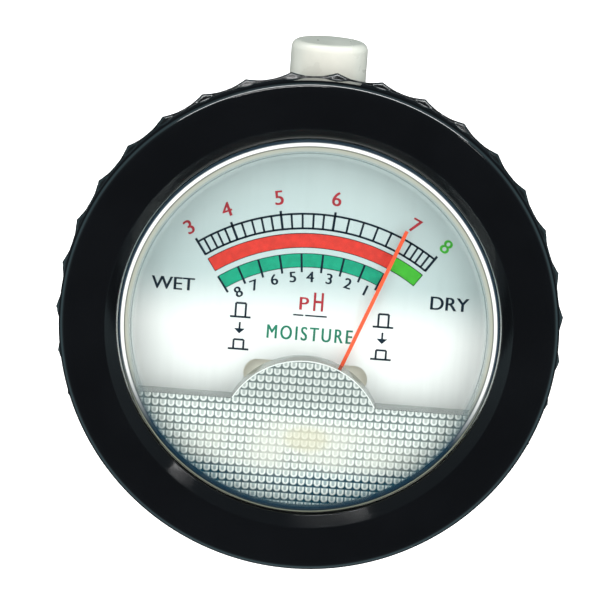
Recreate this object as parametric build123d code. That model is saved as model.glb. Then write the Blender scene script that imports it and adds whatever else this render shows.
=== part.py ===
from build123d import *
import math
import os

# Soil pH and moisture tester: a round moving-coil meter on top of a conical probe.
# Millimetres. Z runs up the probe, the dial faces +Z, the push button points to +Y,
# and the origin is the point of the probe. Depths are measured down from the bezel's front.

# Whole tester
total_length = 160.0
running_clearance = 0.3
seat_clearance = 0.1

# Bezel ring
bezel_radius = 24.5
bezel_height = 3.2
bezel_edge_round = 1.4
bezel_face_width = 4.5
opening_slope_width = 1.15
opening_slope_depth = 1.2
bezel_lip_depth = 2.0
bezel_skirt_wall = 1.4
bezel_skirt_length = 2.4

# Grip housing
housing_overhang = 0.5
housing_edge_chamfer = 0.6
housing_taper = 0.2
shoulder_depth = 21.5
foot_depth = 31.0
foot_round = 7.0
flute_count = 35
flute_depth = 0.5
flute_phase = 5.6
flute_reach = 23.0
housing_wall = 1.5
collar_radius = 14.8
collar_end = 36.0
ledge_width = 2.3
ledge_thickness = 3.0
floor_depth = 30.5
floor_thickness = 2.5
floor_cavity_radius = 11.5

# Window
lens_setback = 1.2
lens_thickness = 1.8
lens_edge_round = 1.1
lens_wall_step = 1.15
lens_wall_thickness = 1.4
lens_flange_width = 1.3
lens_flange_thickness = 1.0
gasket_thickness = 0.4
gasket_width = 1.9

# Prismatic cover over the movement
prism_gap = 0.6
prism_thickness = 0.9
prism_edge_above_pivot = 4.89
prism_lip = 1.3
prism_skirt_above_pivot = 3.4
hump_above_pivot = 1.15
hump_radius = 8.08

# Dial
dial_depth = 7.4
dial_thickness = 0.3
dial_slot_half_width = 6.2
dial_slot_above_pivot = 8.12
dial_slot_height = 2.8
dial_arch_half_width = 2.4
dial_arch_rise = 0.64
dial_hole_radius = 6.6
dial_screw_inset = 7.3
dial_screw_above_pivot = 2.4
dial_screw_head_radius = 1.1
dial_screw_head_height = 0.7
dial_screw_radius = 0.6
dial_screw_length = 4.0
dial_post_radius = 1.8

# Movement, standing on the pivot axis
core_radius = 3.3
core_height = 5.4
yoke_inner_radius = 5.0
yoke_radius = 6.3
yoke_height = 6.0
yoke_depth = 9.2
spacer_width = 2.4
spacer_height = 3.0
coil_clearance = 0.4
point_clearance = 0.03
former_wall = 0.25
former_width = 2.6
winding_thickness = 0.55
winding_width = 2.0
winding_corner_round = 0.33
staff_radius = 0.35
staff_cone = 0.5
bridge_post_offset = 5.6
bridge_post_radius = 0.8
bridge_width = 2.4
bridge_thickness = 0.7
upper_bridge_depth = 4.75
lower_bridge_drop = 1.3
jewel_screw_radius = 0.7
jewel_screw_proud = 0.1
jewel_screw_reach = 0.2
hairspring_inner_radius = 0.5
hairspring_pitch = 0.9
hairspring_turns = 2
hairspring_strip = 0.14
hairspring_height = 0.4
hairspring_gap = 0.4

# Pointer
pointer_depth = 6.2
pointer_thickness = 0.2
pointer_width = 0.36
pointer_reach = 4.5
pointer_offset = 0.33
pointer_rest_angle = -20.98
hub_radius = 1.2
hub_height = 0.6
tail_length = 3.2
side_arm_length = 2.4
arm_width = 0.4
weight_radius = 0.4
weight_length = 0.8

# Meter base
base_inset = 0.4
base_wall = 1.4
base_floor_thickness = 1.4
base_rim_width = 0.8
base_rim_height = 1.0
yoke_relief = 0.2
yoke_cover = 0.1
stud_x = 10.5
stud_y = -1.0
stud_radius = 0.9
stud_length = 9.5
stud_above_floor = 3.0
nut_across = 3.2
nut_height = 1.4
resistor_radius = 1.1
resistor_length = 6.4
resistor_lead_radius = 0.3
resistor_above_floor = 1.7
shelf_inner_x = 2.6
shelf_outer_x = 6.8
shelf_margin = 0.5
shelf_gap = 1.2

# Push button and switch
button_radius = 3.8
button_proud = 1.9
button_edge_round = 0.8
button_depth = 11.8
button_travel = 2.0
button_hole_clearance = 0.15
button_seat_inset = 3.6
ear_half_width = 5.2
ear_height = 3.2
ear_thickness = 0.8
stem_radius = 1.5
stem_reach = 12.4
stem_clearance = 0.08
spring_radius = 2.2
spring_wire = 0.4
spring_turns = 3
spring_end_gap = 0.03
switch_half_width = 4.6
switch_setback = 5.8
switch_length = 4.8
switch_top_gap = 0.6
switch_foot_length = 5.4
switch_foot_height = 1.6
contact_thickness = 0.4
contact_width = 1.6
contact_x = 2.6
contact_touch_gap = 0.05
bridge_plate_half_width = 3.6
bridge_plate_height = 4.4

# Probe
probe_top_radius = 14.0
probe_tip_radius = 1.0
probe_tip_flat = 0.4
probe_wall = 2.4
probe_cap_thickness = 2.5
probe_end_wall = 10.0
spigot_radius = 11.9
spigot_length = 3.0
point_length = 32.0
insulator_height = 3.0
plate_count = 3
plate_phase = 90.0
plate_start = 50.0
plate_end_gap = 16.0
plate_arc = 48.0
plate_corner = 1.6
plate_sink = 1.0
plate_proud = 0.15
plate_tab_width = 2.4
plate_tab_thickness = 1.0
plate_tab_length = 2.4
plate_tab_inset = 8.0
rod_radius = 1.5
rod_above_floor = 4.5
rod_in_point = 10.0
rod_clearance = 0.08
rod_nut_across = 5.5
rod_nut_height = 2.4
washer_radius = 3.5
washer_thickness = 0.5
wire_hole_radius = 1.1
wire_hole_offset = 7.0

# Lead wires
lead_radius = 0.3
lead_spread = 0.52
lead_layer = 0.8

# Places worked out from the sizes above
crest_radius = bezel_radius + housing_overhang
bezel_face_inner_radius = bezel_radius - bezel_face_width
opening_radius = bezel_face_inner_radius - opening_slope_width
lens_wall_radius = opening_radius + lens_wall_step
lens_flange_radius = lens_wall_radius + lens_flange_width
base_radius = lens_wall_radius - base_inset
base_rim_radius = base_radius + base_rim_width
pivot_y = yoke_radius + yoke_relief + yoke_cover - base_radius
prism_edge_y = pivot_y + prism_edge_above_pivot
prism_skirt_y = pivot_y + prism_skirt_above_pivot
hump_y = pivot_y + hump_above_pivot
dial_slot_top_y = pivot_y + dial_slot_above_pivot
dial_screw_x = base_radius - dial_screw_inset
dial_screw_y = pivot_y + dial_screw_above_pivot
pointer_length = base_radius + pointer_reach
button_end_y = crest_radius + button_proud
button_seat_y = crest_radius - button_seat_inset
stem_end_y = button_seat_y - stem_reach
switch_front_y = button_seat_y - switch_setback
insulator_depth = total_length - point_length
plate_end = insulator_depth - plate_end_gap
probe_cavity_end = insulator_depth - probe_end_wall
rod_top_depth = floor_depth - rod_above_floor
rod_bottom_depth = insulator_depth + insulator_height + rod_in_point
bezel_skirt_radius = crest_radius - flute_depth - housing_wall
lens_inner_depth = lens_setback + lens_thickness
lens_wall_inner_radius = lens_wall_radius - lens_wall_thickness
lens_flange_depth = bezel_lip_depth + gasket_thickness
prism_depth = lens_inner_depth + prism_gap
prism_under = prism_depth + prism_thickness
prism_radius = lens_wall_inner_radius - 2 * seat_clearance
dial_under = dial_depth + dial_thickness
core_depth = yoke_depth + (yoke_height - core_height) / 2
former_inner_half = core_radius + coil_clearance
former_top = core_depth - coil_clearance - former_wall
former_bottom = core_depth + core_height + coil_clearance + former_wall
winding_top = former_top - winding_thickness
winding_bottom = former_bottom + winding_thickness
lower_bridge_depth = winding_bottom + lower_bridge_drop
base_floor_depth = lower_bridge_depth + bridge_thickness
base_bottom = base_floor_depth + base_floor_thickness
housing_inner_top = bezel_height + bezel_skirt_length + running_clearance
chamfer_depth = bezel_height + housing_edge_chamfer


def level(depth):
    """Height above the probe's point of a depth below the bezel's front."""
    return total_length - depth


def housing_radius(depth):
    """Radius over the flute crests of the straight, tapered grip."""
    return crest_radius - housing_taper * (depth - chamfer_depth)


def bore_radius(depth):
    """Inner radius of the housing behind the flutes."""
    return housing_radius(depth) - flute_depth - housing_wall


def probe_radius(depth):
    """Radius of the conical probe."""
    slope = (probe_top_radius - probe_tip_radius) / (total_length - collar_end)
    return probe_top_radius - slope * (depth - collar_end)


def turned(corners, arc=360):
    """Solid of revolution about Z, or a sector of it, from corners of (radius, depth)."""
    outline = Polyline([(r, level(depth)) for r, depth in corners], close=True)
    return revolve(make_face(Plane.XZ * outline), Axis.Z, arc)


def disc(radius, top, bottom, x=0.0, y=0.0):
    """Upright cylinder between two depths."""
    tall = bottom - top
    return Pos(x, y, level(bottom) + tall / 2) * Cylinder(radius, tall)


def tube(outer, inner, top, bottom, x=0.0, y=0.0):
    """Upright tube between two depths."""
    return disc(outer, top, bottom, x, y) - disc(inner, top, bottom, x, y)


def block(x_size, y_size, top, bottom, x=0.0, y=0.0):
    """Upright box between two depths, centred on x and y."""
    tall = bottom - top
    return Pos(x, y, level(bottom) + tall / 2) * Box(x_size, y_size, tall)


def rod_along_y(radius, start, end):
    """Cylinder along Y on the button's axis."""
    long = end - start
    return Pos(0, start + long / 2, level(button_depth)) * Rot(90, 0, 0) * Cylinder(radius, long)


def lifted(sketch, top, bottom):
    """Flat outline in XY raised into a plate between two depths."""
    return extrude(Pos(0, 0, level(bottom)) * sketch, bottom - top)


def hexagon_nut(across, bore, top, bottom, x=0.0, y=0.0):
    """Plain hexagon nut between two depths."""
    outline = RegularPolygon(across / 2, 6, major_radius=False) - Circle(bore)
    return Pos(x, y, 0) * lifted(outline, top, bottom)


def bezel_ring():
    """Smooth ring that clamps the window: rounded edge, flat face, inner slope and skirt."""
    skirt_inner = bezel_skirt_radius - bezel_skirt_wall
    skirt_end = bezel_height + bezel_skirt_length
    ring = turned([
        (bezel_face_inner_radius, 0),
        (bezel_radius, 0),
        (bezel_radius, bezel_height),
        (bezel_skirt_radius, bezel_height),
        (bezel_skirt_radius, skirt_end),
        (skirt_inner, skirt_end),
        (skirt_inner, bezel_lip_depth),
        (opening_radius, bezel_lip_depth),
        (opening_radius, opening_slope_depth),
    ])
    rims = ring.edges().filter_by(GeomType.CIRCLE).filter_by_position(
        Axis.Z, level(0), level(0))
    outer_rim = rims.sort_by(SortBy.RADIUS)[-1]
    return fillet(outer_rim, bezel_edge_round)


def housing_outline():
    """Half section of the housing: grip, shoulder and collar outside, stepped bore inside."""
    mouth = crest_radius - housing_edge_chamfer
    chamfer_end = (crest_radius, level(chamfer_depth))
    collar_corner = (collar_radius, level(collar_end))
    shoulder = (housing_radius(shoulder_depth), level(shoulder_depth))
    grip = Polyline((mouth, level(bezel_height)), chamfer_end, shoulder)
    bell = FilletPolyline(shoulder, (collar_radius, level(foot_depth)), collar_corner,
                          radius=foot_round)
    socket = spigot_radius + seat_clearance
    socket_top = floor_depth + floor_thickness
    ledge_radius = bore_radius(base_bottom) - ledge_width
    bore_mouth = bezel_skirt_radius + seat_clearance
    inside = Polyline(
        collar_corner,
        (socket, level(collar_end)),
        (socket, level(socket_top)),
        (0, level(socket_top)),
        (0, level(floor_depth)),
        (floor_cavity_radius, level(floor_depth)),
        (ledge_radius, level(base_bottom + ledge_thickness)),
        (ledge_radius, level(base_bottom)),
        (bore_radius(base_bottom), level(base_bottom)),
        (bore_radius(housing_inner_top), level(housing_inner_top)),
        (bore_mouth, level(housing_inner_top)),
        (bore_mouth, level(bezel_height)),
        (mouth, level(bezel_height)))
    return make_face(Plane.XZ * Wire([*grip.edges(), *bell.edges(), *inside.edges()]))


def flute_cutters():
    """Tapered round cutters, all from the apex of the grip's taper, that scoop its flutes."""
    half = math.radians(180 / flute_count)
    rise = crest_radius / housing_taper
    crest_x = crest_radius * math.cos(half)
    crest_length = math.hypot(crest_radius, rise)
    valley_lean = math.atan2(crest_radius - flute_depth, rise)
    across = crest_x * math.cos(valley_lean) - rise * math.sin(valley_lean)
    along = crest_x * math.sin(valley_lean) + rise * math.cos(valley_lean)
    spread = math.atan2(crest_length - along, across)
    lean = valley_lean + spread
    low = (rise - flute_reach) / math.cos(lean)
    high = (rise + bezel_height) / math.cos(lean)
    cutter = Pos(0, 0, low) * Cone(low * math.tan(spread), high * math.tan(spread),
                                   high - low, align=(Align.CENTER, Align.CENTER, Align.MIN))
    cutter = Pos(0, 0, level(chamfer_depth) - rise) * Rot(0, math.degrees(lean), 0) * cutter
    return [Rot(0, 0, flute_phase + (index + 0.5) * 360 / flute_count) * cutter
            for index in range(flute_count)]


def head_housing():
    """Bell-shaped grip housing with scooped flutes, button hole, ledge, floor and collar."""
    housing = revolve(housing_outline(), Axis.Z)
    housing -= flute_cutters()
    housing -= rod_along_y(button_radius + button_hole_clearance,
                           button_seat_y - button_travel, button_end_y)
    ear_room = ear_half_width + running_clearance
    seat = rod_along_y(ear_room, button_seat_y - 2 * button_travel, button_seat_y)
    housing -= seat & block(2 * ear_room, crest_radius, button_depth - button_radius,
                            button_depth + button_radius, 0, crest_radius)
    socket_top = floor_depth + floor_thickness
    housing -= disc(rod_radius + rod_clearance, floor_depth, socket_top)
    for turn in range(plate_count):
        spot = wire_spot(turn)
        housing -= disc(wire_hole_radius, floor_depth, socket_top, *spot)
    return housing


def wire_spot(turn):
    """Place of a wire hole beside the tie rod, in line with an electrode plate."""
    angle = math.radians(plate_phase + turn * 360 / plate_count)
    return wire_hole_offset * math.cos(angle), wire_hole_offset * math.sin(angle)


def lens():
    """Clear cup: flat front with a rounded edge, clamping flange and wall down to the dial."""
    front_radius = opening_radius - seat_clearance
    flange_under = lens_flange_depth + lens_flange_thickness
    cup = turned([
        (0, lens_setback),
        (front_radius, lens_setback),
        (front_radius, lens_flange_depth),
        (lens_flange_radius, lens_flange_depth),
        (lens_flange_radius, flange_under),
        (lens_wall_radius, flange_under),
        (lens_wall_radius, dial_depth),
        (lens_wall_inner_radius, dial_depth),
        (lens_wall_inner_radius, lens_inner_depth),
        (0, lens_inner_depth),
    ])
    front = cup.edges().filter_by(GeomType.CIRCLE).filter_by_position(
        Axis.Z, level(lens_setback), level(lens_setback))
    return fillet(front, lens_edge_round)


def lens_gasket():
    """Flat ring squeezed between the bezel's lip and the window's flange."""
    outer = lens_flange_radius
    return tube(outer, outer - gasket_width, bezel_lip_depth, lens_flange_depth)


def prism_outline(inset=0.0):
    """Round segment below a straight edge, joined by the hump over the movement."""
    radius = prism_radius - inset
    edge = prism_edge_y - inset
    below = Pos(0, edge - radius, 0) * Rectangle(2 * radius, 2 * radius)
    hump = Pos(0, hump_y, 0) * Circle(hump_radius - inset)
    return (below + hump) & Circle(radius)


def prism_cover():
    """Clear cover over the movement: a flat top, a short lip and a skirt that stands on the dial."""
    top = lifted(prism_outline(), prism_depth, prism_under)
    wall = prism_outline() - prism_outline(prism_thickness)
    lip = lifted(wall, prism_under, prism_depth + prism_thickness + prism_lip)
    lower = Pos(0, prism_skirt_y - prism_radius, 0) * Rectangle(
        2 * prism_radius, 2 * prism_radius)
    skirt = lifted(wall & lower, prism_under, dial_depth)
    return top + lip + skirt


def dial_plate():
    """Thin metal scale plate with the arched slot and the round hole over the movement."""
    face = Circle(lens_wall_radius)
    slot = Pos(0, dial_slot_top_y - dial_slot_height / 2, 0) * SlotOverall(
        2 * dial_slot_half_width, dial_slot_height)
    arch_radius = dial_arch_half_width ** 2 / (2 * dial_arch_rise) + dial_arch_rise / 2
    arch_y = dial_slot_top_y + dial_arch_rise - arch_radius
    band = Pos(0, dial_slot_top_y, 0) * Rectangle(
        2 * dial_slot_half_width, 2 * dial_arch_rise)
    arch = (Pos(0, arch_y, 0) * Circle(arch_radius)) & band
    hole = Pos(0, pivot_y, 0) * Circle(dial_hole_radius)
    face -= slot + arch + hole
    for side in (-1, 1):
        face -= Pos(side * dial_screw_x, dial_screw_y, 0) * Circle(
            dial_screw_radius + seat_clearance)
    return lifted(face, dial_depth, dial_under)


def dial_screws():
    """Two round-headed screws that hold the dial to the base's posts."""
    screws = []
    for side in (-1, 1):
        x = side * dial_screw_x
        head_top = dial_depth - dial_screw_head_height
        head = disc(dial_screw_head_radius, head_top, dial_depth, x, dial_screw_y)
        rim = head.edges().filter_by(GeomType.CIRCLE).sort_by(Axis.Z)[-1]
        head = chamfer(rim, dial_screw_head_height / 3)
        head -= block(2 * dial_screw_head_radius, dial_screw_head_height / 2, head_top,
                      dial_depth - dial_screw_head_height / 2, x, dial_screw_y)
        shank = disc(dial_screw_radius, dial_depth, dial_depth + dial_screw_length,
                     x, dial_screw_y)
        screws.append(head + shank)
    return screws


def slot_shelf(side):
    """Column on the base's floor that backs one end of the dial's slot."""
    wide = shelf_outer_x - shelf_inner_x
    long = dial_slot_height + 2 * shelf_margin
    return block(wide, long, dial_under + shelf_gap, base_floor_depth,
                 side * (shelf_inner_x + wide / 2), dial_slot_top_y - dial_slot_height / 2)


def meter_base():
    """Pale moulded cup under the dial: floor, wall with rim, posts and the button's window."""
    cup = turned([
        (0, base_floor_depth),
        (base_radius - base_wall, base_floor_depth),
        (base_radius - base_wall, dial_under),
        (base_rim_radius, dial_under),
        (base_rim_radius, dial_under + base_rim_height),
        (base_radius, dial_under + base_rim_height),
        (base_radius, base_bottom),
        (0, base_bottom),
    ])
    for side in (-1, 1):
        post = disc(dial_post_radius, dial_under, base_floor_depth,
                    side * dial_screw_x, dial_screw_y)
        pilot = disc(dial_screw_radius, dial_under, dial_depth + dial_screw_length,
                     side * dial_screw_x, dial_screw_y)
        cup += post
        cup -= pilot
        cup -= disc(stud_radius, base_floor_depth, base_bottom, side * stud_x, stud_y)
        cup += slot_shelf(side)
    cup -= disc(yoke_radius + yoke_relief, dial_under + base_rim_height,
                base_floor_depth, 0, pivot_y)
    window = 2 * (ear_half_width + running_clearance)
    cup -= block(window, base_radius, dial_under, button_depth + button_radius,
                 0, base_radius)
    cup -= disc(jewel_screw_radius + running_clearance, base_floor_depth, base_bottom,
                0, pivot_y)
    return cup


def yoke_ring():
    """Soft-iron ring round the coil."""
    return tube(yoke_radius, yoke_inner_radius, yoke_depth, yoke_depth + yoke_height,
                0, pivot_y)


def core_magnet():
    """Round magnet inside the coil."""
    return disc(core_radius, core_depth, core_depth + core_height, 0, pivot_y)


def core_spacers():
    """Two lugs that hold the magnet in the ring, where the coil never comes."""
    middle = core_depth + core_height / 2
    gap = tube(yoke_inner_radius, core_radius, middle - spacer_height / 2,
               middle + spacer_height / 2, 0, pivot_y)
    return [solid for solid in (gap & block(
        spacer_width, 2 * yoke_radius, middle - spacer_height / 2,
        middle + spacer_height / 2, 0, pivot_y)).solids()]


def bridge(bar_top, post_from, post_to):
    """Bar with two posts over or under the coil, and a bore for its jewel screw."""
    bar = SlotOverall(2 * (bridge_post_offset + bridge_width / 2), bridge_width)
    bar -= Circle(jewel_screw_radius)
    plate = Pos(0, pivot_y, 0) * lifted(bar, bar_top, bar_top + bridge_thickness)
    for side in (-1, 1):
        plate += disc(bridge_post_radius, post_from, post_to,
                      side * bridge_post_offset, pivot_y)
    return plate


def upper_bridge():
    """Bridge above the pointer's hub."""
    return bridge(upper_bridge_depth, upper_bridge_depth + bridge_thickness, yoke_depth)


def lower_bridge():
    """Bridge below the coil, standing on the base's floor."""
    return bridge(lower_bridge_depth, yoke_depth + yoke_height, lower_bridge_depth)


def staff_tip_up():
    """Depth of the staff's upper point."""
    return upper_bridge_depth + bridge_thickness + jewel_screw_reach


def staff_tip_down():
    """Depth of the staff's lower point."""
    return lower_bridge_depth - jewel_screw_reach


def jewel_cup(point, open_towards):
    """Conical seat for a staff's point, a little wider than the point."""
    tall = staff_cone + coil_clearance
    wide = staff_radius * tall / staff_cone
    z = level(point) + open_towards * (point_clearance - tall / 2)
    cone = Cone(wide, 0, tall) if open_towards > 0 else Cone(0, wide, tall)
    return Pos(0, pivot_y, z) * cone


def upper_jewel_screw():
    """Slotted screw in the upper bridge with the jewel cup at its end."""
    top = upper_bridge_depth - jewel_screw_proud
    end = staff_tip_up() + staff_cone / 2
    screw = disc(jewel_screw_radius, top, end, 0, pivot_y)
    screw -= block(2 * jewel_screw_radius, jewel_screw_radius / 3, top,
                   top + bridge_thickness / 3, 0, pivot_y)
    return screw - jewel_cup(staff_tip_up(), 1)


def lower_jewel_screw():
    """Slotted screw in the lower bridge with the jewel cup at its end."""
    bottom = lower_bridge_depth + bridge_thickness + jewel_screw_proud
    screw = disc(jewel_screw_radius, staff_tip_down() - staff_cone / 2, bottom, 0, pivot_y)
    screw -= block(2 * jewel_screw_radius, jewel_screw_radius / 3,
                   bottom - bridge_thickness / 3, bottom, 0, pivot_y)
    return screw - jewel_cup(staff_tip_down(), -1)


def at_rest(piece):
    """Turns a movement piece, drawn with its pointer along +Y, to its resting angle."""
    return Pos(0, pivot_y, 0) * Rot(0, 0, pointer_rest_angle) * piece


def frame_loop(half, top, bottom, width, wall):
    """Rectangular loop round the core, upright in the XZ plane."""
    loop = block(2 * (half + wall), width, top - wall, bottom + wall)
    return loop - block(2 * half, 2 * width, top, bottom)


def coil_former():
    """Aluminium frame that carries the winding."""
    loop = frame_loop(former_inner_half, former_top + former_wall,
                      former_bottom - former_wall, former_width, former_wall)
    return at_rest(loop)


def coil_winding():
    """Fine wire wound on the frame."""
    loop = frame_loop(former_inner_half + former_wall, former_top, former_bottom,
                      winding_width, winding_thickness)
    corners = loop.edges().filter_by(Axis.Y)
    outer = corners.filter_by_position(
        Axis.Z, level(winding_bottom), level(winding_bottom))
    outer += corners.filter_by_position(Axis.Z, level(winding_top), level(winding_top))
    return at_rest(fillet(outer, winding_corner_round))


def pivot_staffs():
    """Pointed steel staffs above and below the coil."""
    upper = turned([
        (0, staff_tip_up()),
        (staff_radius, staff_tip_up() + staff_cone),
        (staff_radius, winding_top),
        (0, winding_top),
    ])
    lower = turned([
        (0, staff_tip_down()),
        (staff_radius, staff_tip_down() - staff_cone),
        (staff_radius, winding_bottom),
        (0, winding_bottom),
    ])
    return [at_rest(upper), at_rest(lower)]


def pointer():
    """Long needle, hub, counter tail and two side arms."""
    under = pointer_depth + pointer_thickness
    middle = pointer_depth + pointer_thickness / 2
    needle = block(pointer_width, pointer_length, pointer_depth, under,
                   pointer_offset, pointer_length / 2)
    tail = block(arm_width, tail_length, pointer_depth, under, 0, -tail_length / 2)
    arms = block(2 * side_arm_length, arm_width, pointer_depth, under)
    hub = disc(hub_radius, middle - hub_height / 2, middle + hub_height / 2)
    body = hub + needle + tail + arms
    body -= disc(staff_radius, middle - hub_height, middle + hub_height)
    return at_rest(body)


def balance_weights():
    """Three small weights on the ends of the tail and the side arms."""
    middle = level(pointer_depth + pointer_thickness / 2)
    weights = []
    for x, y, turn in ((0, -tail_length - weight_length / 2, 0),
                       (-side_arm_length - weight_length / 2, 0, 90),
                       (side_arm_length + weight_length / 2, 0, 90)):
        weight = Rot(0, 0, turn) * Rot(90, 0, 0) * Cylinder(weight_radius, weight_length)
        weights.append(at_rest(Pos(x, y, middle) * weight))
    return weights


def hairspring(top, mirrored):
    """Flat spiral from the staff's collet out to the bridge's post."""
    spiral = []
    radius = hairspring_inner_radius + hairspring_strip
    start_x = radius
    side = 1
    for start_angle in (0, 180) * hairspring_turns:
        spiral.append(CenterArc((start_x - side * radius, 0), radius, start_angle, 180))
        start_x -= 2 * side * radius
        radius += hairspring_pitch / 4
        side = -side
    spiral.append(Line((start_x, 0), (bridge_post_offset - bridge_post_radius, 0)))
    strip = trace(spiral, hairspring_strip)
    collet = Circle(hairspring_inner_radius + hairspring_strip) - Circle(staff_radius)
    flat = strip + collet
    if mirrored:
        flat = Rot(0, 0, 180) * flat
    return Pos(0, pivot_y, 0) * lifted(flat, top, top + hairspring_height)


def upper_hairspring():
    """Spiral spring between the pointer's hub and the coil."""
    return hairspring(winding_top - hairspring_gap - hairspring_height, False)


def lower_hairspring():
    """Spiral spring under the coil, wound to the other side."""
    return hairspring(winding_bottom + hairspring_gap, True)


def terminal_studs():
    """Two brass studs through the base's floor."""
    top = base_floor_depth - stud_above_floor
    return [disc(stud_radius, top, top + stud_length, side * stud_x, stud_y)
            for side in (-1, 1)]


def terminal_nuts():
    """Nuts that clamp the studs under the base's floor."""
    return [hexagon_nut(nut_across, stud_radius, base_bottom, base_bottom + nut_height,
                        side * stud_x, stud_y) for side in (-1, 1)]


def shunt_resistor():
    """Wire-ended resistor between the studs."""
    body = Cylinder(resistor_radius, resistor_length)
    body += Cylinder(resistor_lead_radius, 2 * (stud_x - stud_radius))
    z = level(base_floor_depth - resistor_above_floor)
    return Pos(0, stud_y, z) * Rot(0, 90, 0) * body


def push_button():
    """Round cap with a rounded rim, two ears that hold it in, and its stem."""
    ear_front = button_seat_y - seat_clearance
    rear = ear_front - ear_thickness
    cap = rod_along_y(button_radius, rear, button_end_y)
    rim = cap.edges().filter_by(GeomType.CIRCLE).sort_by(Axis.Y)[-1]
    cap = fillet(rim, button_edge_round)
    ears = block(2 * ear_half_width, ear_thickness, button_depth - ear_height / 2,
                 button_depth + ear_height / 2, 0, rear + ear_thickness / 2)
    return cap + ears + rod_along_y(stem_radius, stem_end_y, rear)


def button_rear_y():
    """Face of the button that its spring pushes on."""
    return button_seat_y - seat_clearance - ear_thickness


def button_spring():
    """Coil spring round the stem, between the button and the switch body."""
    start = switch_front_y + spring_wire / 2 + spring_end_gap
    end = button_rear_y() - spring_wire / 2 - spring_end_gap
    tall = end - start
    path = Helix(pitch=tall / spring_turns, height=tall, radius=spring_radius)
    section = Plane(path @ 0, z_dir=path % 0) * Rectangle(spring_wire, spring_wire)
    coil = sweep(section, path, is_frenet=True)
    return Pos(0, start, level(button_depth)) * Rot(-90, 0, 0) * coil


def switch_body():
    """Block that guides the stem, with a foot for the fixed contacts."""
    top = dial_under + switch_top_gap
    tower = block(2 * switch_half_width, switch_length, top, base_floor_depth,
                  0, switch_front_y - switch_length / 2)
    foot_top = base_floor_depth - switch_foot_height
    foot = block(2 * switch_half_width, switch_foot_length, foot_top, base_floor_depth,
                 0, switch_front_y - switch_length - switch_foot_length / 2)
    body = tower + foot
    body -= rod_along_y(stem_radius + stem_clearance,
                        switch_front_y - switch_length, switch_front_y)
    for side in (-1, 1):
        body -= block(contact_width, contact_thickness, foot_top, base_floor_depth,
                      side * contact_x, contact_y())
    return body


def contact_y():
    """Middle of the fixed contacts, just past the bridge's full travel."""
    touch = stem_end_y + contact_thickness / 2 - button_travel - contact_touch_gap
    return touch - contact_thickness / 2


def fixed_contacts():
    """Two upright strips set in the switch body's foot."""
    top = button_depth - bridge_plate_height / 2
    return [block(contact_width, contact_thickness, top, base_floor_depth,
                  side * contact_x, contact_y()) for side in (-1, 1)]


def contact_bridge():
    """Strip on the end of the stem that joins the fixed contacts when pressed."""
    y = stem_end_y + contact_thickness
    plate = block(2 * bridge_plate_half_width, contact_thickness,
                  button_depth - bridge_plate_height / 2,
                  button_depth + bridge_plate_height / 2, 0, y)
    return plate - rod_along_y(stem_radius, stem_end_y, y + contact_thickness)


def plate_form(turn, sink, proud, grow=0.0):
    """Sector of the probe's skin with rounded corners."""
    top = plate_start - grow
    bottom = plate_end + grow
    arc = plate_arc + 2 * math.degrees(grow / probe_radius(plate_end))
    sector = turned([
        (probe_radius(top) - sink, top),
        (probe_radius(top) + proud, top),
        (probe_radius(bottom) + proud, bottom),
        (probe_radius(bottom) - sink, bottom),
    ], arc)
    corners = sector.edges().filter_by(GeomType.LINE).sort_by(SortBy.LENGTH)[:4]
    sector = fillet(corners, plate_corner + grow)
    return Rot(0, 0, plate_phase + turn * 360 / plate_count - arc / 2) * sector


def plate_tab(turn, grow=0.0):
    """Tab on a plate's back that passes through the probe's wall, for its lead."""
    depth = plate_start + plate_tab_inset
    outer = probe_radius(depth) - plate_sink / 2
    long = plate_sink / 2 + plate_tab_length
    tab = Box(long, plate_tab_width + 2 * grow, plate_tab_thickness + 2 * grow)
    place = Pos(outer - long / 2, 0, level(depth))
    return Rot(0, 0, plate_phase + turn * 360 / plate_count) * place * tab


def electrode_plate(turn):
    """Curved metal plate let into the side of the probe, with its tab."""
    return plate_form(turn, plate_sink, plate_proud) + plate_tab(turn)


def probe_body():
    """Hollow black cone with a spigot, recesses for the plates and a bore for the rod."""
    spigot_top = collar_end - spigot_length
    cavity_top = collar_end + probe_cap_thickness
    cone = turned([
        (0, spigot_top),
        (spigot_radius, spigot_top),
        (spigot_radius, collar_end),
        (probe_top_radius, collar_end),
        (probe_radius(insulator_depth), insulator_depth),
        (0, insulator_depth),
    ])
    cone -= turned([
        (0, cavity_top),
        (probe_radius(cavity_top) - probe_wall, cavity_top),
        (probe_radius(probe_cavity_end) - probe_wall, probe_cavity_end),
        (0, probe_cavity_end),
    ])
    cone -= disc(rod_radius + rod_clearance, spigot_top, insulator_depth)
    for turn in range(plate_count):
        cone -= disc(wire_hole_radius, spigot_top, cavity_top, *wire_spot(turn))
        cone -= plate_form(turn, plate_sink + seat_clearance / 2, 2 * plate_proud,
                           seat_clearance / 2)
        cone -= plate_tab(turn, seat_clearance / 2)
    return cone


def insulator_ring():
    """Pale ring between the probe's body and its metal point."""
    end = insulator_depth + insulator_height
    ring = turned([
        (rod_radius + rod_clearance, insulator_depth),
        (probe_radius(insulator_depth), insulator_depth),
        (probe_radius(end), end),
        (rod_radius + rod_clearance, end),
    ])
    return ring


def metal_tip():
    """Solid metal point with a blunted end and a blind bore for the rod."""
    start = insulator_depth + insulator_height
    blunt = total_length - probe_tip_radius
    tip = turned([
        (0, start),
        (probe_radius(start), start),
        (probe_radius(blunt), blunt),
        (probe_tip_flat, total_length),
        (0, total_length),
    ])
    return tip - disc(rod_radius, start, rod_bottom_depth + seat_clearance)


def tie_rod():
    """Rod that pulls the metal point, the ring and the body up against the housing."""
    return disc(rod_radius, rod_top_depth, rod_bottom_depth)


def rod_washer():
    """Washer under the rod's nut."""
    return tube(washer_radius, rod_radius + rod_clearance,
                floor_depth - washer_thickness, floor_depth)


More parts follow.
